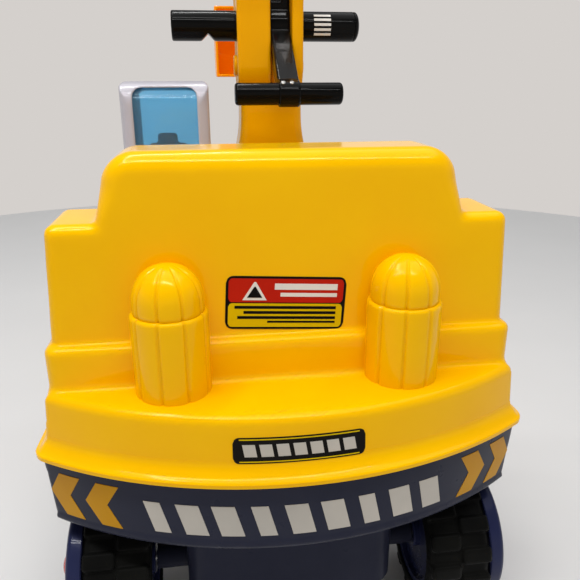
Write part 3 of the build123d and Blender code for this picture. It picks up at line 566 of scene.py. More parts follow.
def band_inset(z):
    """The tray's inset, which grows towards its bottom edge."""
    return BAND_INSET + BAND_TAPER * (LIP_Z - z) / (LIP_Z - TRAY_Z)


def skirt_inset(z):
    """The cover's inset above its lip: a quick concave flare, then a nearly upright skirt."""
    flare = np.clip((z - LIP_Z - 4) / (FLARE_Z - LIP_Z - 4), 0, 1)
    upright = np.clip((z - FLARE_Z) / (SHELF_Z - FLARE_Z), 0, 1)
    return 2 + (SKIRT_INSET - 2) * (1 - (1 - flare) ** 2) + 2 * upright


def tray_field(x, y, z):
    """The dark tray, whose side is the band, with a bead round its bottom edge."""
    plan = plan_field(x, y)
    band = slab(plan + band_inset(z), z, TRAY_Z, LIP_Z + 2, 4)
    bead = slab(plan + band_inset(z) - 0.9, z, TRAY_Z + 3.2, TRAY_Z + 6.6, 1.4)
    return join(band, bead, 1.0)


SHOULDER_TAPER = 8.5        # how much the shoulders narrow up to SHOULDER_Z
BACK_HALF = 146.0           # half width of the backrest at FLARE_Z
BACK_TAPER = 36.0           # how much it narrows up to BACK_Z
SEAT_TOP = 236.0
SEAT_HALF = 84.0
SEAT_Y = (-85.0, 93.0)
SADDLE = (12.0, 478.0, 250.0)  # the seat's hollow: a large cylinder's Y, Z and radius


def backrest_elevation(x, z):
    """The backrest from behind: two square shoulders and a tapered, rounded back above them."""
    above = z - FLARE_Z
    shoulder_half = TIER_HALF - SHOULDER_TAPER * above / (SHOULDER_Z - FLARE_Z)
    back_half = BACK_HALF - BACK_TAPER * above / (BACK_Z - FLARE_Z)
    shoulders = rounded(np.abs(x) - shoulder_half, z - SHOULDER_Z, 6)
    back = rounded(0.98 * (np.abs(x) - back_half), z - BACK_Z, 17)
    return np.maximum(join(shoulders, back, 4), LIP_Z + 4 - z)


def seat_field(x, y, z):
    block = brick(x, y, z, (-SEAT_HALF, SEAT_Y[0], LIP_Z + 4), (SEAT_HALF, SEAT_Y[1], SEAT_TOP), 11, 30)
    hollow = disc(y, z, *SADDLE) + 0.0006 * x**2
    return cut(block, hollow, 10)


def plinths(x, y, z):
    """The low steps under the post and the cab."""
    mid_x = (post_lo[0] + post_hi[0]) / 2
    top = SHELF_Z + 6
    under_post = brick(x, y, z, (mid_x - 57, -216, LIP_Z), (mid_x + 57, -139, top), 4, 12)
    cab_corners = (cab_lo[0] - 3, -202, LIP_Z), (cab_hi[0] + 3, cab_hi[1] + 5, top)
    return np.minimum(under_post, brick(x, y, z, *cab_corners, 4, 12))


def cover_field(x, y, z):
    plan = plan_field(x, y)
    skirt = slab(plan + skirt_inset(np.maximum(z, FLARE_Z)), z, LIP_Z + 1, SHELF_Z, 5)
    tier = brick(x, y, z, (-TIER_HALF, TIER_FRONT_Y, LIP_Z + 4), (TIER_HALF, TIER_Y, STEP_Z), 4.5, 9)
    body = join(skirt, tier, 4)
    edge_r = 7 + 6 * smoothstep(np.clip((z - SHOULDER_Z) / 25, 0, 1))
    back = slab(backrest_elevation(x, z), y, BACK_FRONT_Y, WALL_Y, edge_r)
    body = join(body, back, 1.6)
    body = join(body, seat_field(x, y, z), 9)
    return join(body, plinths(x, y, z), 5)


LIP_TURNS = 900
LIP_EYE_Y = -20.0           # the rays that find the plan's edge start here, inside the waist


def lip_ring():
    """The cover's lip and hollow flare, drawn once round the plan as a closed band."""
    rise = np.linspace(0, 1, 9)
    profile = [(13.0, LIP_Z), (1.0, LIP_Z), (0.3, LIP_Z + 0.6), (0.2, LIP_Z + 3.2), (0.9, LIP_Z + 4)]
    profile += [(float(skirt_inset(z)) - 0.1, z) for z in LIP_Z + 4 + 0.3 + rise * (FLARE_Z - LIP_Z - 4.3)]
    profile += [(13.0, FLARE_Z)]
    angle = np.linspace(0, 2 * math.pi, LIP_TURNS, endpoint=False)
    rings = []
    for inset, z in profile:
        def outside(r, inset=inset):
            return plan_field(r * np.sin(angle), LIP_EYE_Y + r * np.cos(angle)) + inset > 0
        r = farthest(outside, np.full(LIP_TURNS, 40.0), np.full(LIP_TURNS, 320.0), 34)
        level = np.full(LIP_TURNS, z)
        rings.append(np.stack([r * np.sin(angle), LIP_EYE_Y + r * np.cos(angle), level], axis=-1))
    faces = tube_faces(len(rings), LIP_TURNS, closed=True)
    lip = mesh_piece("house_lip", np.concatenate(rings), faces, "house", yellow, smooth_angle=28)
    face_outward(lip)


def house_shells():
    skin("house_tray", tray_field, tray_lo, (tray_hi[0], tray_hi[1], LIP_Z + 2), 2.6, "house", blue_grey,
         ["lower_tray"])
    skin("house_cover", cover_field, (cover_lo[0], cover_lo[1], LIP_Z), cover_hi, 2.4, "house", yellow,
         ["upper_cover"])


STAVES = 9
PER_STAVE = 22              # mesh columns in each stave
FIRST_GROOVE = math.radians(15.4)
SLEEVE_TOP = 266.0
SLEEVE_R = 24.7
DOME_TOP = 296.0
CAP_DOME_R = 22.6
SLEEVE_ROLL = 2.6           # rounding of the sleeve's top edge


def dome_rows():
    """(z, radius) up a dome: upright sleeve, rolled edge, small step, short neck and round cap."""
    foot = SHELF_Z - 8
    rows = [(foot + t * (SLEEVE_TOP - 3 - foot), SLEEVE_R) for t in np.linspace(0, 1, 20)]
    for t in np.linspace(0, math.pi / 2, 6)[1:]:
        rows.append((SLEEVE_TOP - 3 + SLEEVE_ROLL * math.sin(t), SLEEVE_R - SLEEVE_ROLL * (1 - math.cos(t))))
    rows.append((SLEEVE_TOP - 0.6, CAP_DOME_R - 0.6))
    rows.append((SLEEVE_TOP - 0.2, CAP_DOME_R - 0.2))
    base = DOME_TOP - CAP_DOME_R
    for t in np.linspace(0, 1, 5)[1:]:
        rows.append((SLEEVE_TOP + 0.2 + t * (base - SLEEVE_TOP), CAP_DOME_R))
    for t in np.linspace(0, math.pi / 2, 18)[1:-1]:
        rows.append((base + CAP_DOME_R * math.sin(t), CAP_DOME_R * math.cos(t)))
    return rows


def staved_dome(side):
    """A staved sleeve under a ribbed dome: the radius dips at each groove between staves."""
    turns = STAVES * PER_STAVE
    rows = dome_rows()
    points = []
    for z, r in rows:
        for k in range(turns):
            angle = 2 * math.pi * k / turns + FIRST_GROOVE
            phase = (k / PER_STAVE + 0.5) % 1.0
            edge = min(phase, 1 - phase) * 2 * math.pi * r / STAVES
            dip = 1.8 * math.exp(-((edge / 0.9) ** 2)) * min(1.0, r / 14)
            reach = r - dip
            points.append((side * DOME_X + reach * math.cos(angle), DOME_Y + reach * math.sin(angle), z))
    faces = tube_faces(len(rows), turns)
    crown = len(points)
    points.append((side * DOME_X, DOME_Y, DOME_TOP))
    last = (len(rows) - 1) * turns
    faces += [(last + k, last + (k + 1) % turns, crown) for k in range(turns)]
    foot = len(points)
    points.append((side * DOME_X, DOME_Y, rows[0][0]))
    faces += [((k + 1) % turns, k, foot) for k in range(turns)]
    name = "staved_dome_left" if side > 0 else "staved_dome_right"
    dome = mesh_piece(name, points, faces, "house", yellow)


# ---------------- post, boom and lift bar
FOOT_R = 29.0               # round foot of the boom


def post_field(x, y, z):
    """A tapered post whose foot flares out in a hollow curve, with a round tongue on top."""
    mid_x = (post_lo[0] + post_hi[0]) / 2
    rise = np.clip((z - SHELF_Z) / (PIVOT[2] - FOOT_R - SHELF_Z), 0, 1)
    flare = smoothstep(np.clip((0.86 - rise) / 0.5, 0, 1))
    half_x = 32 + 13 * flare + 3 * (1 - rise)
    half_y = 28 + 3 * flare + 2 * (1 - rise)
    top = PIVOT[2] - FOOT_R - 0.5
    flat = rounded(np.abs(x - mid_x) - half_x, np.abs(y - POST_Y) - half_y, 9)
    post = slab(flat, z, SHELF_Z, top, 3)
    tongue = slab(capsule(y, z, (PIVOT[1], top - 6), at(PIVOT), 16, 16), x, *SLOT, 1.2)
    return join(post, tongue, 2)


def boom_side(y, z):
    """The boom from the side: round foot, upright, swept bend and forward tip with a link ear."""
    bend = (-183, 492)
    crown = (-224, 552)
    crown_r = 40
    upright = capsule(y, z, at(PIVOT), bend, FOOT_R, FOOT_R)
    sweep = capsule(y, z, bend, crown, FOOT_R, crown_r)
    reach = capsule(y, z, crown, (STICK[1] + 2, STICK[2]), crown_r, 21)
    ear = capsule(y, z, at(STICK), at(EAR), 20, 10.5)
    return join(join(upright, sweep, 14), join(reach, ear, 5), 12)


def boom_half(lo, hi, ridge_x):
    """One moulded half between two X positions, with a raised rim line on its outer cheek."""
    def field(x, y, z):
        side = boom_side(y, z)
        half = slab(side, x, lo, hi, 2.4)
        panel = np.maximum(np.abs(x - ridge_x) - 0.9, side + 8)
        half = cut(half, panel, 1.0)
        for pin, r in ((PIVOT, 5.0), (STICK, 4.0), (EAR, 3.0)):
            half = join(half, slab(disc(y, z, *at(pin), r + 7), x, lo, hi, 1.2), 1.0)
        return half
    return field


def boom():
    """Two halves; the right one carries the web that closes the slot's edge."""
    left_in = LEFT[0]
    right_in = SLOT[0] - 0.5
    skin("boom_half_left", boom_half(left_in, LEFT[1], LEFT[1]), left_lo, left_hi, 2.0, "boom", amber,
         ["boom_left_half"])
    right = boom_half(RIGHT[0], right_in, RIGHT[0])
    web_outline = [(-240, 442), (-204, 442), (-204, 470), (-250, 530), (-322, 572), (-322, 530)]

    def right_field(x, y, z):
        web = np.maximum(np.abs(boom_side(y, z) + 1.8) - 1.8, polygon(y, z, web_outline))
        web = np.maximum(web, between(x, right_in - 2, left_in - 0.4))
        return np.minimum(right(x, y, z), web)

    skin("boom_half_right", right_field, right_lo, right_hi, 2.0, "boom", amber, ["boom_right_half"])


def pivot_caps():
    """A low round cap on each end of the pivot pin."""
    rise = [(-1.0, 0.0), (-1.0, 10.6), (1.6, 10.9)]
    rise += fillet_arc(1.6, 9.4, 1.4, 80, 10, 4) + [(2.9, 7.6), (2.2, 6.9), (2.2, 0.0)]
    for name, x, way, stands_for in (
        ("pivot_cap_left", LEFT[1], 1, ["boom_pivot_caps"]),
        ("pivot_cap_right", RIGHT[0], -1, []),
    ):
        lathe(name, [(x + way * a, r) for a, r in rise], PIVOT[1], PIVOT[2], "boom", amber, stands_for)


BAR_R = 15.0
BORE_R = 11.6
BAR_DOME = 6.0              # how far the domed right end stands out from the tube
NOTCH = (40.4, 446.7)       # tip of the notch under the bar's left end
NOTCH_FOOT_Z = 436.5
GAP = 0.3


def bar_field(x, y, z):
    """The lift bar: a plain open tube end on the left with a notch under it."""
    r = np.hypot(y - BAR[1], z - BAR[2])
    tube = rounded(between(x, bar_lo[0] + BAR_DOME, bar_hi[0]), r - BAR_R, 1.6)
    bore = np.maximum(r - BORE_R, bar_hi[0] - 3.0 - x)
    tube = cut(tube, bore, 0.8)
    corners = [(NOTCH[0] - 10, NOTCH_FOOT_Z), (NOTCH[0] + 10, NOTCH_FOOT_Z), NOTCH]
    notch = polygon(x, z + 0 * y, corners)
    return cut(tube, notch, 1.0)


def lift_bar():
    right = bar_lo[0]
    skin("bar_tube", bar_field, (right + BAR_DOME, BAR[1] - BAR_R, BAR[2] - BAR_R),
         (bar_hi[0], BAR[1] + BAR_R, BAR[2] + BAR_R), 1.5, "boom", black, ["lift_bar"])
    dome = [(right + 9.0, 0.0), (right + 9.0, 14.0), (right + 6.6, 14.2), (right + 6.2, 14.9)]
    for t in np.linspace(0.15, math.pi / 2, 12):
        dome.append((right + BAR_DOME * (1 - math.sin(t)), BAR_R * (1 - (1 - math.cos(t)) ** 1.15)))
    lathe("bar_dome_right", dome, BAR[1], BAR[2], "boom", black, ["lift_bar_end_caps"])
    inner = bar_hi[0] - 3.4
    plug = [(inner - 4, 0.0), (inner - 4, 11.4), (inner - 0.8, 11.4), (inner - 0.2, 10.9), (inner, 10.2)]
    plug += [(inner, 4.0), (inner - 1.2, 3.4), (inner - 1.2, 0.0)]
    lathe("bar_plug_left", plug, BAR[1], BAR[2], "boom", black, [])


# ---------------- T lever, rod, stick, link, bucket
COLLAR_R = 12.4             # the lever's collar round the grip
LEVER_HUB_R = 19.0
GRIP_R = 10.5
EYE_R = 8.0                 # eyes of the push rod and of the two cranks
PIN_BORE_R = 3.05
LINK_R = 6.5


def lever_field(x, y, z):
    """Hub round the lift bar, arm that drops to the grip's collar, and the crank above."""
    hub = slab(disc(y, z, *at(BAR), LEVER_HUB_R), x, *ARM, 1.4)
    arm = capsule(y, z, (BAR[1] + 11, BAR[2] - 9), (GRIP[1] - 6, GRIP[2] + 4), 8, 9)
    collar = slab(disc(y, z, *at(GRIP), COLLAR_R), x, *ARM, 1.8)
    cheek = slab(capsule(y, z, at(BAR), (BAR[1] + 5, 474), 18, 9), x, *ARM, 1.4)
    crank = slab(capsule(y, z, at(BAR), at(ROD_REAR), 12, EYE_R), x, ARM[0], ARM[0] + 8, 1.2)
    lever = join(join(hub, slab(arm, x, *ARM, 2.0), 3), join(collar, np.minimum(cheek, crank), 0.5), 3)
    return np.maximum(lever, BAR_R + GAP - np.hypot(y - BAR[1], z - BAR[2]))


def grip_screws():
    """Two slotted screws in the collar, facing up and back."""
    tilt = math.radians(58)
    for number, x in enumerate((ARM[1] - 4.2, ARM[1] - 12.6)):
        def head(px, py, pz, x=x):
            out = (py - GRIP[1]) * math.cos(tilt) + (pz - GRIP[2]) * math.sin(tilt)
            over = (pz - GRIP[2]) * math.cos(tilt) - (py - GRIP[1]) * math.sin(tilt)
            button = slab(np.hypot(px - x, over) - 2.3, out, 9.0, 13.2, 0.9)
            slot = np.maximum(np.maximum(np.abs(over) - 0.35, np.abs(px - x) - 1.6), 12.6 - out)
            return cut(button, slot, 0.2)
        near = np.array((x, GRIP[1] + 11 * math.cos(tilt), GRIP[2] + 11 * math.sin(tilt)))
        skin(f"grip_screw_{number + 1}", head, near - 4, near + 4, 0.4, "t_lever", steel, [])


def t_lever():
    box_lo = (ARM[0], BAR[1] - LEVER_HUB_R, GRIP[2] - COLLAR_R)
    box_hi = (ARM[1], GRIP[1] + COLLAR_R, ROD_REAR[2] + EYE_R)
    skin("lever", lever_field, box_lo, box_hi, 1.5, "t_lever", black, ["t_lever_arm"])
    lo, hi = grip_lo[0], grip_hi[0]
    grip = [(lo, 0.0), (lo, 6.0)] + fillet_arc(lo + 3, GRIP_R - 3, 3, 180, 90)
    grip += [(ARM[0] - 1.0, GRIP_R), (ARM[1] + 1.0, GRIP_R)]
    grip += fillet_arc(hi - 3, GRIP_R - 3, 3, 90, 0) + [(hi, 6.0), (hi, 0.0)]
    lathe("grip_bar", grip, GRIP[1], GRIP[2], "t_lever", black, ["t_lever_grip"])
    grip_screws()


def push_rod_field(x, y, z):
    """A flat rod with an eye at each end, fluted on both cheeks, with a bore in each eye."""
    rear, front = at(ROD_REAR), at(ROD_FRONT)
    eyes = np.minimum(disc(y, z, *rear, EYE_R), disc(y, z, *front, EYE_R))
    rod = slab(join(capsule(y, z, rear, front, 5, 5), eyes, 4), x, *ROD, 1.2)
    fluted = cut(rod, capsule(y, z, rear, front, 2.0, 2.0), 0.8)
    core_half = 2.4
    rod = np.where(np.abs(x - (ROD[0] + ROD[1]) / 2) > core_half, fluted, rod)
    holes = np.minimum(disc(y, z, *rear, PIN_BORE_R), disc(y, z, *front, PIN_BORE_R))
    return np.maximum(rod, -holes)


def stick_field(x, y, z):
    """The stick, with a crank above its pivot on one side."""
    arm = slab(capsule(y, z, at(STICK), at(BUCKET_PIN), 15, 11), x, *ARM, 2.0)
    crank = slab(capsule(y, z, at(STICK), at(ROD_FRONT), 14, EYE_R), x, ARM[0], ARM[0] + 8, 1.4)
    return join(arm, crank, 3)


def link_field(x, y, z):
    return slab(capsule(y, z, at(EAR), at(HORN), LINK_R, LINK_R), x, *LINK, 1.6)


BUCKET_Y = -394.0           # axis of the bucket's round front
BUCKET_Z = 450.2
BUCKET_R = 52.0
BUCKET_FLOOR = 404.0
BUCKET_TOP = 492.0
MOUTH_Y = -350.0            # rear edge of the bucket's floor
BUCKET_WALL = 3.2
TEETH = 5


def bucket_side(y, z, inset):
    """The bucket from the side: a round front, a flat floor and top, open towards the seat."""
    front = np.hypot(np.minimum(y - BUCKET_Y, 0), z - BUCKET_Z) - BUCKET_R + inset
    level = between(z, BUCKET_FLOOR + inset, BUCKET_TOP - inset)
    rear = (y - MOUTH_Y + (z - BUCKET_FLOOR) * 0.182) * 0.984
    return front, level, rear


def bucket_field(x, y, z):
    left, right = bucket_hi[0], bucket_lo[0]
    front, level, rear = bucket_side(y, z, 0)
    outside = slab(np.maximum(rounded(front, level, 5), rear), x, right, left, 1.4)
    front, level, _ = bucket_side(y, z, BUCKET_WALL)
    inside = slab(rounded(front, level, 4), x, right + BUCKET_WALL, left - BUCKET_WALL, 2.0)
    shell = cut(outside, inside, 0.9)
    pitch = (left - right) / TEETH
    turn = (x - right) / pitch
    across = np.abs(turn - np.floor(turn) - 0.5) * pitch - pitch * 0.27
    flat = rounded(across, between(y, MOUTH_Y - 6, MOUTH_Y + 10.7), 2.0)
    tooth = slab(flat, z, BUCKET_FLOOR + 0.2, BUCKET_FLOOR + 3.4, 1.0)
    shell = join(shell, np.maximum(tooth, between(x, right + 2, left - 2)), 0.8)
    for lo in (ARM[0] - 5.3, ARM[1] + 0.3):
        ear = capsule(y, z, at(BUCKET_PIN), at(HORN), 9, 7)
        foot = np.maximum(between(y, -434, -381), between(z, BUCKET_PIN[2] - 16, BUCKET_PIN[2] - 3))
        shell = join(shell, slab(np.minimum(ear, foot), x, lo, lo + 5, 1.0), 1.2)
    return shell


def front_linkage():
    skin("rod_body", push_rod_field, (ROD[0], ROD_FRONT[1] - EYE_R, ROD_REAR[2] - EYE_R),
         (ROD[1], ROD_REAR[1] + EYE_R, ROD_FRONT[2] + EYE_R), 1.6, "rod", red, ["push_rod"])
    skin("stick_body", stick_field, (ARM[0], BUCKET_PIN[1] - 11, BUCKET_PIN[2] - 11),
         (ARM[1], STICK[1] + 16, ROD_FRONT[2] + EYE_R), 1.8, "stick_arm", amber, ["stick"])
    skin("link_body", link_field, (LINK[0], HORN[1] - LINK_R, HORN[2] - LINK_R),
         (LINK[1], EAR[1] + LINK_R, EAR[2] + LINK_R), 1.6, "link", black, ["bucket_link"])
    # The bucket is skinned in the orange plastic with the painted glow.
    skin("bucket_shell", bucket_field, bucket_lo, bucket_hi, 1.6, "scoop", orange, ["bucket"])


# ---------------- cab
WINDOW_Z = (284.0, 394.0)
CAB_WALL = 3.0
GLASS_THICK = 2.2


def window_hole(across, z, lo, hi):
    return rounded(between(across, lo + 12, hi - 13), between(z, *WINDOW_Z), 9)


def cab_outside(x, y, z):
    """The cab's outer form: round upright corners and a roof that rolls over at the front and rear."""
    box = brick(x, y, z, cab_lo, cab_hi, 7, 12)
    return np.maximum(box, rounded(between(y, cab_lo[1], cab_hi[1]), z - cab_hi[2], 24))


def cab_field(x, y, z):
    """Four pillars and a roof: a thin shell with a large window in each wall."""
    outside = cab_outside(x, y, z)
    wall = cut(outside, outside + CAB_WALL, 0.6)
    across, along = window_hole(x, z, cab_lo[0], cab_hi[0]), window_hole(y, z, cab_lo[1], cab_hi[1])
    return cut(wall, np.minimum(across, along), 1.2)


def glass_field(x, y, z):
    """The clear liner behind the windows."""
    outside = cab_outside(x, y, z)
    gap = CAB_WALL + 0.1
    liner = np.maximum(outside + gap, -(outside + gap + GLASS_THICK))
    return np.maximum(liner, GLASS_Z - z)


def cab_seat_field(x, y, z):
    """The moulded driver's seat: base, back and headrest."""
    mid = (cab_lo + cab_hi) / 2
    base = brick(x, y, z, (mid[0] - 22, mid[1] - 20, SHELF_Z), (mid[0] + 22, mid[1] + 24, 296), 5, 6)
    back = brick(x, y, z, (mid[0] - 20, mid[1] + 13, 280), (mid[0] + 20, mid[1] + 24, 340), 5, 4)
    head = brick(x, y, z, (mid[0] - 10, mid[1] + 15, 330), (mid[0] + 10, mid[1] + 23, 350), 4, 3)
    return join(join(base, back, 4), head, 3)


def cab():
    skin("cab_shell", cab_field, cab_lo, cab_hi, 1.6, "house", pale, ["cab_frame"])
    skin("cab_glass", glass_field, (cab_lo[0], cab_lo[1], GLASS_Z), cab_hi, 1.3, "house", window,
         ["cab_glazing"])
    seat_lo, seat_hi = span("cab_seat")
    skin("operator_seat", cab_seat_field, seat_lo, seat_hi, 2.0, "house", navy, ["cab_seat"])


# ---------------- decals
def patch(name, across, up, place, lift, body, material, slot):
    """A thin closed sticker: a grid of (across, up) laid on a surface by place(across, up, height)."""
    rows, columns = across.shape
    points = np.concatenate([place(across.ravel(), up.ravel(), height) for height in (lift, -0.25)])
    half = rows * columns
    faces = []
    for i in range(rows - 1):
        for k in range(columns - 1):
            a = i * columns + k
            quad = (a, a + 1, a + columns + 1, a + columns)
            faces.append(quad)
            faces.append(tuple(half + corner for corner in reversed(quad)))
    rim = list(range(columns)) + [i * columns + columns - 1 for i in range(1, rows)]
    rim += [(rows - 1) * columns + k for k in range(columns - 2, -1, -1)]
    rim += [i * columns for i in range(rows - 2, 0, -1)]
    for a, b in zip(rim, rim[1:] + rim[:1]):
        faces.append((b, a, half + a, half + b))
    obj = mesh_piece(name, points, faces, body, material, smooth_angle=40)
    face_outward(obj)


def quad_grid(a, b, c, d, rows=4, columns=12):
    """A grid over the four-sided shape a-b-c-d; a to b and d to c are its long sides."""
    t = np.linspace(0, 1, columns)[None, :, None]
    s = np.linspace(0, 1, rows)[:, None, None]
    a, b, c, d = (np.array(corner, float) for corner in (a, b, c, d))
    grid = (1 - s) * ((1 - t) * a + t * b) + s * ((1 - t) * d + t * c)
    return grid[..., 0], grid[..., 1]


def plate_grid(mid, wide, high, corner, rows=5, columns=41):
    """A grid over a plate with round corners, in upright columns packed towards its ends."""
    turn = np.linspace(0, math.pi, columns)
    even = np.linspace(-1, 1, columns)
    across = (0.5 * even - 0.5 * np.cos(turn)) * wide / 2
    into = np.clip(np.abs(across) - (wide / 2 - corner), 0, corner)
    half = high / 2 - corner + np.sqrt(np.maximum(corner**2 - into**2, 0.01))
    level = np.linspace(-1, 1, rows)[:, None]
    return mid[0] + across[None, :] + 0 * level, mid[1] + level * half[None, :]


def on_house(inset):
    """Places points on the side of the house: across is the arc from the middle of the tail."""
    def place(across, up, height):
        angle = across / (TAIL_R - 5)

        def outside(r):
            return plan_field(r * np.sin(angle), TAIL_CENTRE + r * np.cos(angle)) + inset(up) > height

        r = farthest(outside, np.full(across.shape, 120.0), np.full(across.shape, 305.0), 30)
        return np.stack([r * np.sin(angle), TAIL_CENTRE + r * np.cos(angle), up], axis=-1)
    return place


def on_wall(tilt, middle):
    """Places points on the rear wall, turned by tilt about the label's middle."""
    def place(across, up, height):
        du, dv = across - middle[0], up - middle[1]
        x = middle[0] + du * math.cos(tilt) - dv * math.sin(tilt)
        z = middle[1] + du * math.sin(tilt) + dv * math.cos(tilt)

        def outside(y):
            return cover_field(x, y, z) > height

        y = farthest(outside, np.full(x.shape, WALL_Y - 4), np.full(x.shape, WALL_Y + 5), 24)
        return np.stack([x, y, z], axis=-1)
    return place


def on_bar(across, up, height):
    """Places points round the lift bar: up is the arc above the bar's rearmost line."""
    angle = up / BAR_R
    r = BAR_R + height
    return np.stack([across, BAR[1] + r * np.cos(angle), BAR[2] + r * np.sin(angle)], axis=-1)


def upright_box(lo, hi, low, high, rows, columns):
    """A grid over a plain rectangle, from its upper corner at lo."""
    return quad_grid((lo, high), (hi, high), (hi, low), (lo, low), rows, columns)


CHEVRON = (124.0, 142.0, 158.5)  # bottom, tip and top of a chevron, above the floor
CHEVRONS_AT = (117.0, 146.0)
BAND_BAR = (127.0, 151.0)   # bottom and top of the slanted bars
BAND_BARS = 9
BAND_REACH = 104.0          # the bars lie within this arc on each side of the tail's middle


def chevrons():
    """Two chevrons on each side of the band, pointing forward round the corner."""
    place = on_house(band_inset)
    low, tip, top = CHEVRON
    for side, side_name in ((1, "left"), (-1, "right")):
        for number, s in enumerate(CHEVRONS_AT):
            corners = [(0, top), (16.5, top), (27, tip), (10.5, tip), (17, low), (1.5, low)]
            a, b, tip_out, notch, d, c = [(side * (s + u), z) for u, z in corners]
            upper_u, upper_z = quad_grid(a, b, tip_out, notch, 9, 7)
            lower_u, lower_z = quad_grid(notch, tip_out, d, c, 9, 7)
            across = np.concatenate([upper_u, lower_u[1:]])
            up = np.concatenate([upper_z, lower_z[1:]])
            patch(f"chevron_{side_name}_{number + 1}", across, up, place, 0.3, "house", chevron_vinyl,
                  "blue_grey_plastic")


def band_bars():
    """Slanted bars across the tail's band; every third one is narrower."""
    place = on_house(band_inset)
    low, high = BAND_BAR
    for number in range(BAND_BARS):
        s = BAND_REACH - 2 * BAND_REACH / BAND_BARS * (number + 0.5)
        half = 7.5 if number % 3 else 5.5
        left, right = s + half, s - half
        u, z = quad_grid((left + 3, high), (right + 3, high), (right - 3, low), (left - 3, low), 6, 5)
        patch(f"band_bar_{number + 1}", u, z, place, 0.3, "house", cream_vinyl, "blue_grey_plastic")


SKIRT_PLATE_Z = 189.5


def skirt_plate():
    """A dark plate on the skirt with seven plain bars between two thin lines."""
    place = on_house(skirt_inset)
    u, z = plate_grid((0.0, SKIRT_PLATE_Z), 84, 17.5, 4)
    patch("skirt_plate", u, z, place, 0.35, "house", black_vinyl, "black_plastic")
    for level, name in ((SKIRT_PLATE_Z + 7.5, "top"), (SKIRT_PLATE_Z - 7.5, "bottom")):
        u, z = upright_box(-38, 38, level - 0.35, level + 0.35, 2, 20)
        patch("skirt_line_" + name, u, z, place, 0.5, "house", gold_vinyl, "yellow_gloss_plastic")
    low, high = SKIRT_PLATE_Z - 4.1, SKIRT_PLATE_Z + 4.1
    for number in range(7):
        s = 31.5 - 10.5 * number
        u, z = quad_grid((s + 4.6, high), (s - 3.2, high), (s - 4.6, low), (s + 3.2, low), 3, 4)
        patch(f"skirt_bar_{number + 1}", u, z, place, 0.5, "house", cream_vinyl, "yellow_gloss_plastic")


def wall_label():
    """A hazard-style label with plain bars and an empty triangle."""
    middle = (0.8, 261.8)
    place = on_wall(math.radians(3.4), middle)

    def layer(name, grid, material, lift):
        patch(name, *grid, place, lift, "house", material, "yellow_gloss_plastic")

    layer("label_base", plate_grid(middle, 80, 37, 5), black_vinyl, 0.3)
    layer("label_red", plate_grid((middle[0], middle[1] + 8.7), 76.4, 16.4, 2.5), red_vinyl, 0.45)
    layer("label_yellow", plate_grid((middle[0], middle[1] - 8.6), 76.4, 16.6, 2.5), gold_vinyl, 0.45)
    x0, z0 = middle[0] + 21, middle[1] + 2
    outer = quad_grid((x0 - 0.6, z0 + 12.6), (x0 + 0.6, z0 + 12.6), (x0 + 8, z0), (x0 - 8, z0), 7, 5)
    layer("label_triangle", outer, white_vinyl, 0.6)
    tip, foot = z0 + 9.4, z0 + 1.8
    inner = quad_grid((x0 - 0.4, tip), (x0 + 0.4, tip), (x0 + 5, foot), (x0 - 5, foot), 7, 5)
    layer("label_triangle_middle", inner, black_vinyl, 0.75)
    # Each row's level above the label's middle, its height, its two ends, and its colour.
    rows = [
        (11.6, 4.2, -34, 8, white_vinyl),
        (6.0, 2.6, -34, 4, white_vinyl),
        (-3.0, 2.0, -34, 34, black_vinyl),
        (-6.6, 2.0, -34, 28, black_vinyl),
        (-10.2, 2.0, -34, 32, black_vinyl),
        (-13.2, 1.4, -34, 12, black_vinyl),
    ]
    for number, (level, high, lo, hi, material) in enumerate(rows):
        low, top = middle[1] + level - high / 2, middle[1] + level + high / 2
        row = upright_box(middle[0] + lo, middle[0] + hi, low, top, 2, 8)
        layer(f"label_row_{number + 1}", row, material, 0.6)


def bar_label():
    """Five plain marks round the lift bar's right end."""
    for number in range(5):
        up = 11.0 - 4.9 * number
        u, z = upright_box(-89, -71, up - 1.3, up + 1.3, 4, 6)
        patch(f"bar_row_{number + 1}", u, z, on_bar, 0.25, "boom", white_vinyl, "black_plastic")


# ---------------- camera, stage and light
CAMERA_BEHIND = 511.0       # camera behind the swivel axis
CAMERA_LEFT = 49.0
CAMERA_Z = 403.0
YAW = math.radians(7.78)
PITCH = math.radians(19.35)
ROLL = math.radians(-0.14)
LENS_MM = 37.55
FLOOR_R = 1.5               # metres
FLOOR_SIDES = 96


def camera():
    """Behind the digger and to its left, looking a little down."""
    forward = Vector((-math.sin(YAW) * math.cos(PITCH), -math.cos(YAW) * math.cos(PITCH), -math.sin(PITCH)))
    level = Vector((-math.cos(YAW), math.sin(YAW), 0))
    upright = level.cross(forward)
    right = level * math.cos(ROLL) + upright * math.sin(ROLL)
    up = right.cross(forward)
    data = bpy.data.cameras.new("camera")
    data.lens = LENS_MM
    data.sensor_width = 36.0
    data.clip_start = 0.01
    eye = bpy.data.objects.new("camera", data)
    turn = Matrix((right, up, -forward)).transposed()
    eye.matrix_world = Matrix.Translation(
        (CAMERA_LEFT * MM, (CAMERA_BEHIND + SWIVEL_Y) * MM, CAMERA_Z * MM)
    ) @ turn.to_4x4()
    bpy.context.scene.collection.objects.link(eye)
    bpy.context.scene.camera = eye


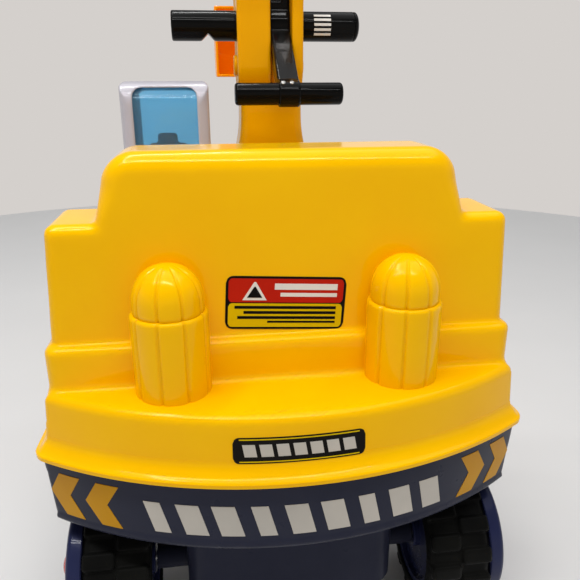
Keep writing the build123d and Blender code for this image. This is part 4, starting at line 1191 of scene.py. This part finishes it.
def floor():
    """A plain round pale floor."""
    material, tree, shader = node_material("pale_paper")
    drift = remap(tree, noise(tree, 3.0), 0.3, 0.7, 0, 1)
    tree.links.new(tint(tree, drift, (0.71, 0.705, 0.70), (0.69, 0.685, 0.68)), shader.inputs["Base Color"])
    shader.inputs["Roughness"].default_value = 0.7
    shader.inputs["Specular IOR Level"].default_value = 0.2
    turn = np.linspace(0, 2 * math.pi, FLOOR_SIDES, endpoint=False)
    rim = [(FLOOR_R * math.cos(t), FLOOR_R * math.sin(t), 0) for t in turn]
    mesh = bpy.data.meshes.new("floor")
    mesh.from_pydata(rim, [], [range(FLOOR_SIDES)])
    mesh.materials.append(material)
    obj = bpy.data.objects.new("floor", mesh)
    bpy.context.scene.collection.objects.link(obj)


def area_light(name, place, target, size, power):
    data = bpy.data.lights.new(name, "AREA")
    data.shape = "RECTANGLE"
    data.size, data.size_y = size
    data.energy = power
    lamp = bpy.data.objects.new(name, data)
    aim = Vector(target) - Vector(place)
    lamp.rotation_euler = aim.to_track_quat("-Z", "Y").to_euler()
    lamp.location = place
    bpy.context.scene.collection.objects.link(lamp)


def sky():
    """A pale band round the horizon that stands for the room's walls, and a dim ceiling."""
    world = bpy.data.worlds.new("studio")
    world.use_nodes = True
    tree = world.node_tree
    coords = tree.nodes.new("ShaderNodeTexCoord")
    height = tree.nodes.new("ShaderNodeSeparateXYZ")
    tree.links.new(coords.outputs["Generated"], height.inputs["Vector"])
    rise = remap(tree, height.outputs["Z"], 0.15, 0.45, 0, 1)
    colour = tint(tree, rise, (0.66, 0.63, 0.605), (0.17, 0.175, 0.18))
    tree.links.new(colour, tree.nodes["Background"].inputs["Color"])
    bpy.context.scene.world = world


def studio():
    """Soft light from above and three long tubes that make the gloss's streaks."""
    bpy.context.scene.view_settings.view_transform = "Standard"
    sky()
    data = bpy.data.lights.new("soft_top", "SUN")
    data.energy = 1.05
    data.angle = math.radians(65)
    lamp = bpy.data.objects.new("soft_top", data)
    lamp.rotation_euler = (math.radians(4), math.radians(-8), 0)
    bpy.context.scene.collection.objects.link(lamp)
    area_light("tube_near", (0.10, 0.62, 1.12), (0, 0.24, 0.33), (1.3, 0.04), 4.6)
    area_light("tube_front", (0.35, -0.15, 1.75), (0, 0.1, 0.2), (1.4, 0.05), 8)
    area_light("tube_rear", (0.25, 0.75, 1.9), (0, 0.1, 0.2), (1.4, 0.05), 8)


# ---------------- the whole scene
BY_SLOT = {
    "blue_grey_plastic": blue_grey,
    "white_nylon": nylon,
    "steel": steel,
    "tyre_black": rubber,
    "red_plastic": red,
    "yellow_gloss_plastic": yellow,
    "amber_plastic": amber,
    "orange_plastic": orange,
    "pale_cab_plastic": pale,
    "blue_clear_plastic": window,
    "navy_plastic": navy,
    "black_plastic": black,
}
for entry in frame["record"]["subparts"]:
    for material_slot in nodes[entry["node"]].material_slots:
        material_slot.material = BY_SLOT[entry["material_slot"]]

wheels()
house_shells()
lip_ring()
for side in (1, -1):
    staved_dome(side)
skin("post_body", post_field, post_lo, post_hi, 2.0, "house", amber, ["boom_post"])
boom()
pivot_caps()
lift_bar()
t_lever()
front_linkage()
cab()
chevrons()
band_bars()
skirt_plate()
wall_label()
bar_label()
camera()
floor()
studio()

bpy.context.view_layer.update()
